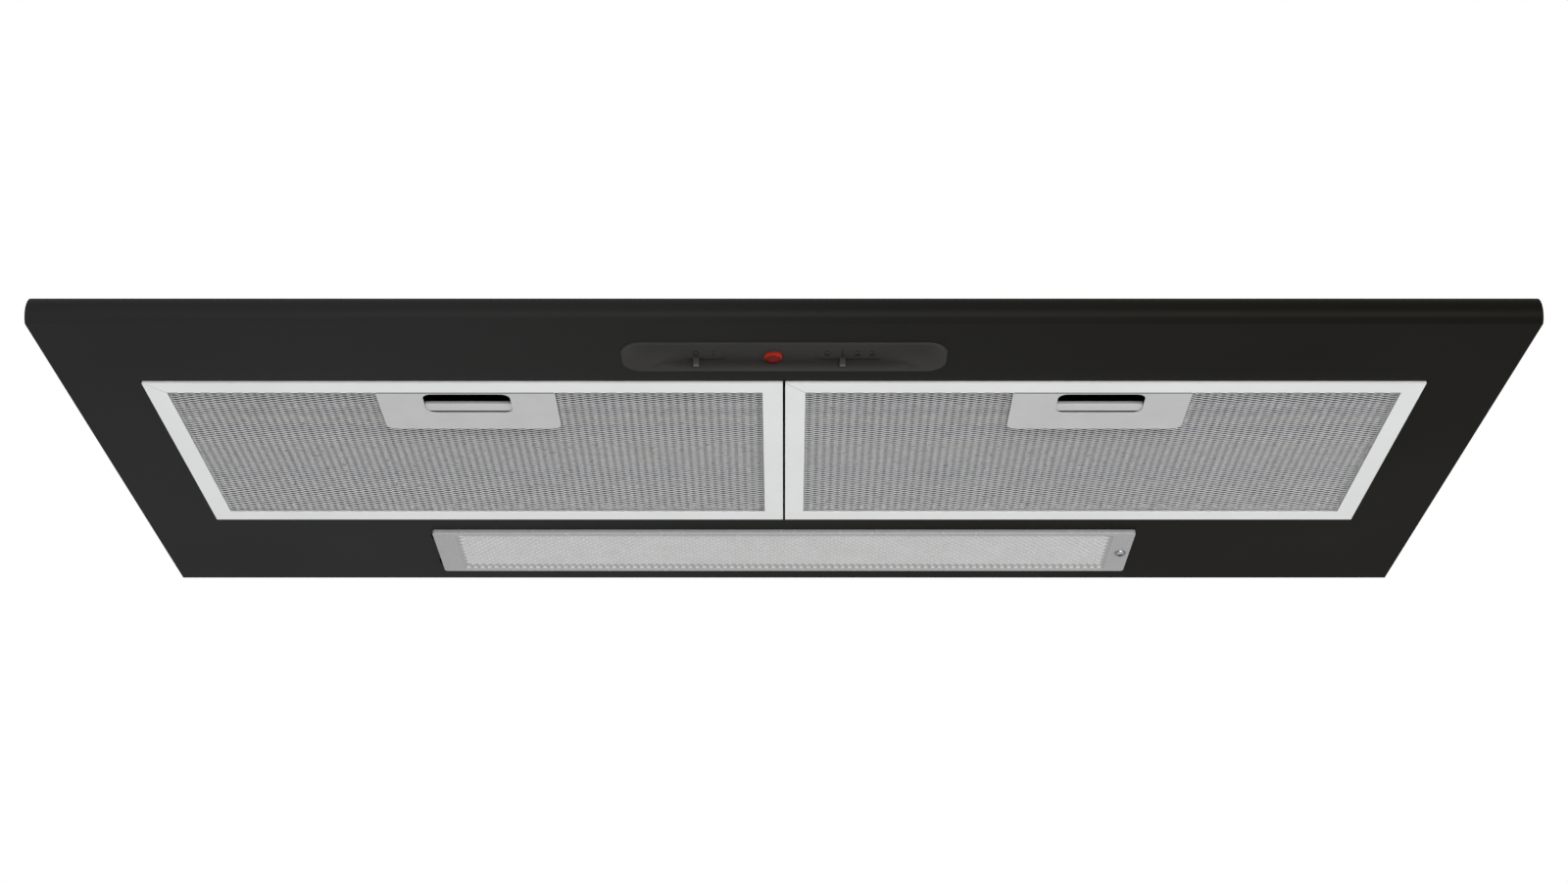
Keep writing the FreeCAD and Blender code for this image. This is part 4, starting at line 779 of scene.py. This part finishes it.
def cut_mesh(mesh, cutter_mesh, name):
    """Boolean difference of two meshes as a new plain mesh."""
    base = bpy.data.objects.new(name + "_base", mesh)
    cutter = bpy.data.objects.new(name + "_cutter", cutter_mesh)
    for thing in (base, cutter):
        bpy.context.scene.collection.objects.link(thing)
    cut = base.modifiers.new("Cut", "BOOLEAN")
    cut.object = cutter
    cut.solver = "EXACT"
    cut.use_self = True
    depsgraph = bpy.context.evaluated_depsgraph_get()
    result = bpy.data.meshes.new_from_object(base.evaluated_get(depsgraph))
    result.name = name
    base.modifiers.remove(cut)
    bpy.data.objects.remove(base)
    bpy.data.objects.remove(cutter)
    return result


class HOOD_OT_lamp(bpy.types.Operator):
    """Prismatic lamp cover, its screw, and the lamp behind it"""

    bl_idname = "hood.lamp"
    bl_label = "Lamp and cover"

    def execute(self, context):
        s = sizes()
        frosted = cover_paint()
        # painted light: the prisms wear a 1.55 times brighter copy of the cover's colour
        bright = cover_paint("cover_prisms", 1.55)
        low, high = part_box("lens_cover")
        slab, field_low, field_high, sunk = cover_slab(low, high)
        cover = add_piece("lamp_cover", slab, frosted, "lens", smooth=35)
        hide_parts("lens_cover", "lens_frame")
        pitch = Vector((s.prism_wide, s.prism_deep))
        near, far = pitch * 0.56, pitch * 1.06
        root = sunk + 0.02 * MM
        prisms = field_of("lamp_cover_prisms", prism_cell(),
                          (field_low[0] + near.x, field_low[1] + near.y),
                          (field_high[0] - far.x - s.plain_right,
                           field_high[1] - far.y - s.bead_back),
                          (s.prism_wide, s.prism_deep), root, NOWHERE, bright)
        bead_y = field_high[1] - s.bead_back / 2
        beads = field_of("lamp_cover_beads", bead_cell(), (field_low[0] + near.x, bead_y),
                         (field_high[0] - near.x - s.plain_right, bead_y),
                         (s.prism_wide, s.prism_deep), root, NOWHERE, bright)
        add_piece("lamp_cover_beads", beads, bright, "lens")
        add_piece("lamp_cover_prisms", prisms, bright, "lens")
        # chrome plating with a darkened base colour: painted shade of the counterbore round the screw head
        darkened_chrome = metal_paint("chrome_plate_shaded", (0.30, 0.32, 0.33), 0.10)
        screw = add_piece("lens_screw_detail", screw_mesh(*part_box("lens_screw")), darkened_chrome, "lens",
                          smooth=30)
        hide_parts("lens_screw")
        white = white_paint()
        moulding = white_paint("white_moulding", 0.4)
        wear("lamp_tray", white)
        wear("lamp_tube", tube_paint())
        wear("lamp_caps", metal_paint("tube_caps", (0.6, 0.6, 0.6), 0.3, (1, 30, 30)))
        wear("lamp_holders", moulding)
        wear("starter", moulding)
        wear("ballast", white)
        wear("lens_nut", zinc_paint())
        return {"FINISHED"}


# ------------------------------------------------------------------ control panel
RECESS = 6.2 * MM
CEILING_GAP = 0.7 * MM      # digits and fin gaps start this far below the recess's deepest level


def smooth_step(value):
    """Rise from 0 to 1 that starts and ends level."""
    value = max(0.0, min(1.0, value))
    return value * value * (3 - 2 * value)


def bezel_mesh(low, high, panel_z, top):
    """Moulded control panel: rounded outline and a long finger recess that fades out at both ends."""
    front_rim, rear_rim = 1.2 * MM, 2.4 * MM
    rim_round = 0.7 * MM
    end = 12.5 * MM
    fade_start, fade_long, end_long = 9 * MM, 34 * MM, 22 * MM
    front_slope, rear_slope = 4.5 * MM, 1.5 * MM
    inset = 2.4 * MM
    middle_x, middle_y = middle_of(low, high)
    half_x, half_y = (high[0] - low[0]) / 2, (high[1] - low[1]) / 2
    columns, rows = 260, 72

    def depth_at(x, y, front, rear):
        """Recess height above the rim at a place, between the recess's front and rear edges."""
        away = abs(x - middle_x)
        fade = smooth_step((half_x - fade_start - away) / fade_long)
        behind = smooth_step((y - front) / (rear - front) * 1.6 - 0.55)
        level = RECESS * (1 - behind * (1 - fade) * 0.9) * smooth_step((half_x - away) / end_long)
        level *= smooth_step((y - front) / front_slope)
        return level * smooth_step((rear - y) / rear_slope)

    bm = bmesh.new()
    grid = []
    for i in range(columns + 1):
        along = -1 + 2 * i / columns
        x = middle_x + half_x * math.sin(along * math.pi / 2)
        away = abs(x - middle_x) - (half_x - end)
        shrink = end - math.sqrt(max(0.0, end * end - away * away)) if away > 0 else 0.0
        span = max(half_y - shrink, 0.02 * MM)
        line = []
        for j in range(rows + 1):
            share = j / rows
            y = middle_y + span * -math.cos(share * math.pi)
            edge = min(span - abs(y - middle_y), half_x - abs(x - middle_x))
            z = panel_z - rim_round * smooth_step(edge / rim_round)
            front, rear = middle_y - span + front_rim, middle_y + span - rear_rim
            if front < y < rear:
                z += depth_at(x, y, front, rear)
            line.append(bm.verts.new((x, y, z)))
        grid.append(line)
    for i in range(columns):
        for j in range(rows):
            bm.faces.new((grid[i][j], grid[i][j + 1], grid[i + 1][j + 1], grid[i + 1][j]))
    rim = ([line[0] for line in grid] + grid[-1][1:] + [line[-1] for line in grid[-2::-1]]
           + grid[0][-2:0:-1])
    shrink_x, shrink_y = 1 - inset / half_x, 1 - inset / half_y
    back = [bm.verts.new((middle_x + (v.co.x - middle_x) * shrink_x,
                          middle_y + (v.co.y - middle_y) * shrink_y, panel_z)) for v in rim]
    cap = [bm.verts.new((v.co.x, v.co.y, top)) for v in back]
    bridge(bm, rim, back)
    bridge(bm, back, cap)
    bm.faces.new(cap)
    return mesh_from(bm, "control_panel")


def smile_mesh(x_low, x_high, rear, ceiling):
    """Painted shade of the gap that a fin slides in: a thin near-black sheet in a shallow arc whose pointed
    ends turn to the front.
    """
    turn_in, point_wide, mid_wide = 4.2 * MM, 0.25 * MM, 2.1 * MM
    high_z, low_z = ceiling + 0.3 * MM, ceiling - 0.14 * MM
    steps = 32
    bm = bmesh.new()
    rows = []
    for i in range(steps + 1):
        share = i / steps
        away = abs(share - 0.5) * 2
        x = x_low + (x_high - x_low) * share
        y = rear - turn_in * away ** 7
        wide = point_wide + mid_wide * (1 - away ** 8)
        rows.append([bm.verts.new(at) for at in ((x, y - wide, high_z), (x, y, high_z),
                                                 (x, y, low_z), (x, y - wide, low_z))])
    stack(bm, rows)
    return mesh_from(bm, "switch_slot_shade")


def digit_mesh(text, x, y, z):
    """A raised digit that reads upright from below, its head towards the front."""
    size_over_height = 1.35
    curve = bpy.data.curves.new("digit", "FONT")
    curve.body = text
    curve.size = sizes().digit_high * size_over_height
    curve.align_x = "CENTER"
    curve.extrude = sizes().digit_raise
    holder = bpy.data.objects.new("digit_holder", curve)
    bpy.context.scene.collection.objects.link(holder)
    depsgraph = bpy.context.evaluated_depsgraph_get()
    mesh = bpy.data.meshes.new_from_object(holder.evaluated_get(depsgraph))
    bpy.data.objects.remove(holder)
    mesh.transform(Matrix(((1, 0, 0, x), (0, -1, 0, y), (0, 0, -1, z), (0, 0, 0, 1))))
    return mesh


def join_meshes(meshes, name):
    bm = bmesh.new()
    for mesh in meshes:
        bm.from_mesh(mesh)
    return plain_mesh(bm, name)


def dome_mesh(low, high, squash):
    """Round lens with a domed face, pointing down."""
    centre = middle_of(low, high)
    radius = (high[0] - low[0]) / 2
    steps, rings, first_turn = 40, 10, 4
    bm = bmesh.new()
    rows = []
    for k in range(rings + 1):
        turn = math.radians(first_turn + (90 - first_turn) * k / rings)
        rise = squash * (1 - math.cos(turn))
        rows.append(ring(bm, centre, radius * math.sin(turn), low[2] + rise, steps))
    rows.append(ring(bm, centre, radius, high[2], steps))
    stack(bm, rows)
    return mesh_from(bm, "indicator_dome")


class HOOD_OT_control_panel(bpy.types.Operator):
    """Control panel with its recess, digits, switch fins and indicator"""

    bl_idname = "hood.control_panel"
    bl_label = "Control panel"

    def execute(self, context):
        moulding = moulded_paint("panel_moulding", finishes().panel, 0.42, sheen=0.06)
        # painted shade: near-black sheets in the switch slots stand for the shade inside them
        dark = moulded_paint("switch_slot_shade", (0.0012, 0.0012, 0.0012), 0.6)
        # fin moulding: painted lighter than the panel moulding, as painted light on the fins' faces
        fin = moulded_paint("fin_moulding_lit", (0.060, 0.058, 0.053), 0.42)
        gloss = moulded_paint("digit_gloss", (0.004, 0.004, 0.004), 0.3)
        panel_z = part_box("underside_panel")[0][2]
        low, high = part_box("control_bezel")
        body = bezel_mesh(low, high, panel_z, high[2])
        bezel = add_piece("control_panel", body, moulding, "root", smooth=40)
        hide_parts("control_bezel")
        ceiling = panel_z + RECESS - CEILING_GAP
        digits = []
        digit_y = low[1] + 20.5 * MM + sizes().digit_high
        # switch, digits, pitch, steps from the first digit to the fin, gap beyond the digits
        switches = (("light_slider", 2, 10.7 * MM, 0, 16.7 * MM, 8.0 * MM),
                    ("fan_slider", sizes().fan_steps + 1, 9.2 * MM, 1, 8.7 * MM, 8.6 * MM))
        for node, count, pitch, steps, gap_left, gap_right in switches:
            fin_low, fin_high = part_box(node)
            first = middle_of(fin_low, fin_high)[0] - pitch * steps
            for i in range(count):
                digits.append(digit_mesh(str(i), first + pitch * i, digit_y, ceiling))
            gap = smile_mesh(first - gap_left, first + pitch * (count - 1) + gap_right,
                             fin_high[1] - 0.1 * MM, ceiling)
            add_piece(node.replace("slider", "gap"), gap, dark, "root")
            wear(node, fin)
            soften(node, 0.35 * MM)
        add_piece("panel_digits", join_meshes(digits, "panel_digits"), gloss, "root")
        red_low, red_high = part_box("indicator_lens")
        red = red_paint(middle_of(red_low, red_high), (red_high[0] - red_low[0]) / 2)
        dome = add_piece("indicator_dome", dome_mesh(red_low, red_high, 2.6 * MM), red, "root",
                         smooth=50)
        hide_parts("indicator_lens")
        wear("switch_bodies", moulded_paint("switch_moulding", (0.01, 0.01, 0.01)))
        wear("indicator_lamp", white_paint("lamp_holder_moulding", 0.4))
        return {"FINISHED"}


# ------------------------------------------------------------------ shell, fan, outlet, wiring
class HOOD_OT_shell(bpy.types.Operator):
    """Enamel on the shell and plating on its fixings"""

    bl_idname = "hood.shell"
    bl_label = "Shell"

    def execute(self, context):
        enamel = enamel_paint()
        for node in ("underside_panel", "top_casing", "side_panel_left", "side_panel_right"):
            wear(node, enamel)
        wear("side_studs", metal_paint("zinc_plate", (0.55, 0.55, 0.52), 0.35))
        return {"FINISHED"}


class HOOD_OT_fan(bpy.types.Operator):
    """Fan, outlet box, duct spigot and flaps"""

    bl_idname = "hood.fan"
    bl_label = "Fan and outlet"

    def execute(self, context):
        zinc = zinc_paint()
        black = moulded_paint("fan_moulding", (0.012, 0.012, 0.012), 0.4)
        for node in ("fan_housing_lower", "fan_housing_scroll", "fan_housing_upper", "outlet_box",
                     "damper_front", "damper_rear"):
            wear(node, zinc)
        for node in ("fan_wheel", "fan_blades", "inlet_ring", "duct_spigot"):
            wear(node, black)
        wear("fan_motor", moulded_paint("motor_enamel", (0.02, 0.02, 0.022), 0.35))
        bright = metal_paint("bright_steel", (0.6, 0.6, 0.6), 0.22)
        for node in ("motor_shaft", "motor_screws", "housing_posts", "damper_pin",
                     "capacitor_clip"):
            wear(node, bright)
        soften("duct_spigot", 0.3 * MM)
        return {"FINISHED"}


class HOOD_OT_wiring(bpy.types.Operator):
    """Terminal box, capacitor and cable bushing"""

    bl_idname = "hood.wiring"
    bl_label = "Electrical parts"

    def execute(self, context):
        white = white_paint("box_moulding", 0.42)
        for node in ("terminal_box", "terminal_cover", "terminal_block"):
            wear(node, white)
        wear("capacitor", metal_paint("drawn_can", (0.62, 0.62, 0.62), 0.3, (1, 25, 25)))
        wear("cable_bushing", moulded_paint("bushing_rubber", (0.015, 0.015, 0.015), 0.6))
        return {"FINISHED"}


# ------------------------------------------------------------------ stage
def soft_light(name, energy, size, place, aim):
    """Rectangular lamp that the camera doesn't see."""
    lamp = bpy.data.lights.new(name, "AREA")
    lamp.energy = energy
    lamp.shape = "RECTANGLE"
    lamp.size, lamp.size_y = size
    thing = bpy.data.objects.new(name, lamp)
    thing.location = place
    thing.visible_camera = False
    thing.rotation_euler = (Vector(aim) - Vector(place)).to_track_quat("-Z", "Y").to_euler()
    bpy.context.scene.collection.objects.link(thing)


FLOOR_DROP = 1.4            # floor below the hood, metres
FLOOR_HALF = 60             # far enough for the floor to fill the view
WORLD_LIGHT = 0.77
# lamps: power, size, place (None is just above the floor), aim
LAMPS = {
    "lower_softbox": (9.2, (2.4, 1.4), (0.0, 0.0, None), (0, -0.1, -0.13)),
    "right_softbox": (4.0, (1.0, 1.0), (2.1, -1.1, -0.9), (0.1, -0.1, -0.13)),
    "front_softbox": (46.0, (2.2, 0.9), (0.4, -2.5, -0.35), (0.1, -0.2, -0.13)),
}
SENSOR, LENS = 36.0, 50.86
CASING_DEEP, CASING_HIGH = 0.386, 0.130     # from the casing's rear and top to its front bend
CAMERA_BACK, CAMERA_DOWN, CAMERA_TILT = 1.1428, 0.6439, 26.37       # from the bend, and degrees up


def studio_world():
    """White where the camera sees it, softer where it lights the hood."""
    world = bpy.data.worlds.new("studio")
    world.use_nodes = True
    nodes, join = world.node_tree.nodes, world.node_tree.links.new
    seen = nodes["Background"]
    seen.inputs["Color"].default_value = (1, 1, 1, 1)
    cast = nodes.new("ShaderNodeBackground")
    cast.inputs["Strength"].default_value = WORLD_LIGHT
    either = nodes.new("ShaderNodeMixShader")
    path = nodes.new("ShaderNodeLightPath")
    join(path.outputs["Is Camera Ray"], either.inputs[0])
    join(cast.outputs[0], either.inputs[1])
    join(seen.outputs[0], either.inputs[2])
    join(either.outputs[0], nodes["World Output"].inputs["Surface"])
    return world


class HOOD_OT_stage(bpy.types.Operator):
    """Pale floor, soft light and the camera in front of and below the hood"""

    bl_idname = "hood.stage"
    bl_label = "Stage"

    def execute(self, context):
        scene = context.scene
        floor_z = CAD_LOW[2] - FLOOR_DROP
        bm = bmesh.new()
        bmesh.ops.create_grid(bm, x_segments=4, y_segments=4, size=FLOOR_HALF)
        mesh = plain_mesh(bm, "floor")
        mesh.transform(Matrix.Translation((0, 0, floor_z)))
        paper = Paint("pale_floor", (0.86, 0.86, 0.86), 0.8)
        paper.shade_by(paper.noise(1.5, 2.0), 0.99, 1.01)
        mesh.materials.append(paper.mat)
        floor = bpy.data.objects.new("floor", mesh)
        scene.collection.objects.link(floor)
        scene.world = studio_world()
        scene.view_settings.view_transform = "Standard"
        for name, (energy, size, (x, y, z), aim) in LAMPS.items():
            soft_light(name, energy, size, (x, y, floor_z + 0.05 if z is None else z), aim)
        camera = bpy.data.objects.new("camera", bpy.data.cameras.new("camera"))
        camera.data.sensor_width = SENSOR
        camera.data.lens = LENS
        casing_rear, casing_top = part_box("top_casing")[1][1:]
        camera.location = (0.0, casing_rear - CASING_DEEP - CAMERA_BACK,
                           casing_top - CASING_HIGH - CAMERA_DOWN)
        camera.rotation_euler = (math.radians(90 + CAMERA_TILT), 0, 0)
        scene.collection.objects.link(camera)
        scene.camera = camera
        return {"FINISHED"}


class HOOD_PT_panel(bpy.types.Panel):
    """Buttons for every group of the hood, with its sizes and colours"""

    bl_idname = "HOOD_PT_panel"
    bl_label = "Range Hood"
    bl_space_type = "VIEW_3D"
    bl_region_type = "UI"
    bl_category = "Range Hood"

    def draw(self, context):
        for operator in OPERATORS:
            self.layout.operator(operator.bl_idname)
        for group in (context.scene.hood_sizes, context.scene.hood_finishes):
            column = self.layout.column()
            for prop in group.bl_rna.properties:
                if prop.identifier not in ("rna_type", "name"):
                    column.prop(group, prop.identifier)


OPERATORS = (HOOD_OT_stage, HOOD_OT_shell, HOOD_OT_filters, HOOD_OT_handles, HOOD_OT_lamp,
             HOOD_OT_control_panel, HOOD_OT_fan, HOOD_OT_wiring)
CLASSES = (HoodSizes, HoodFinishes) + OPERATORS + (HOOD_PT_panel,)


def register():
    for cls in CLASSES:
        bpy.utils.register_class(cls)
    bpy.types.Scene.hood_sizes = PointerProperty(type=HoodSizes)
    bpy.types.Scene.hood_finishes = PointerProperty(type=HoodFinishes)


def unregister():
    del bpy.types.Scene.hood_finishes
    del bpy.types.Scene.hood_sizes
    for cls in reversed(CLASSES):
        bpy.utils.unregister_class(cls)


def main():
    register()
    bpy.ops.hood.stage()
    bpy.ops.hood.shell()
    bpy.ops.hood.filters()
    bpy.ops.hood.handles()
    bpy.ops.hood.lamp()
    bpy.ops.hood.control_panel()
    bpy.ops.hood.fan()
    bpy.ops.hood.wiring()


if __name__ == "__main__":
    main()
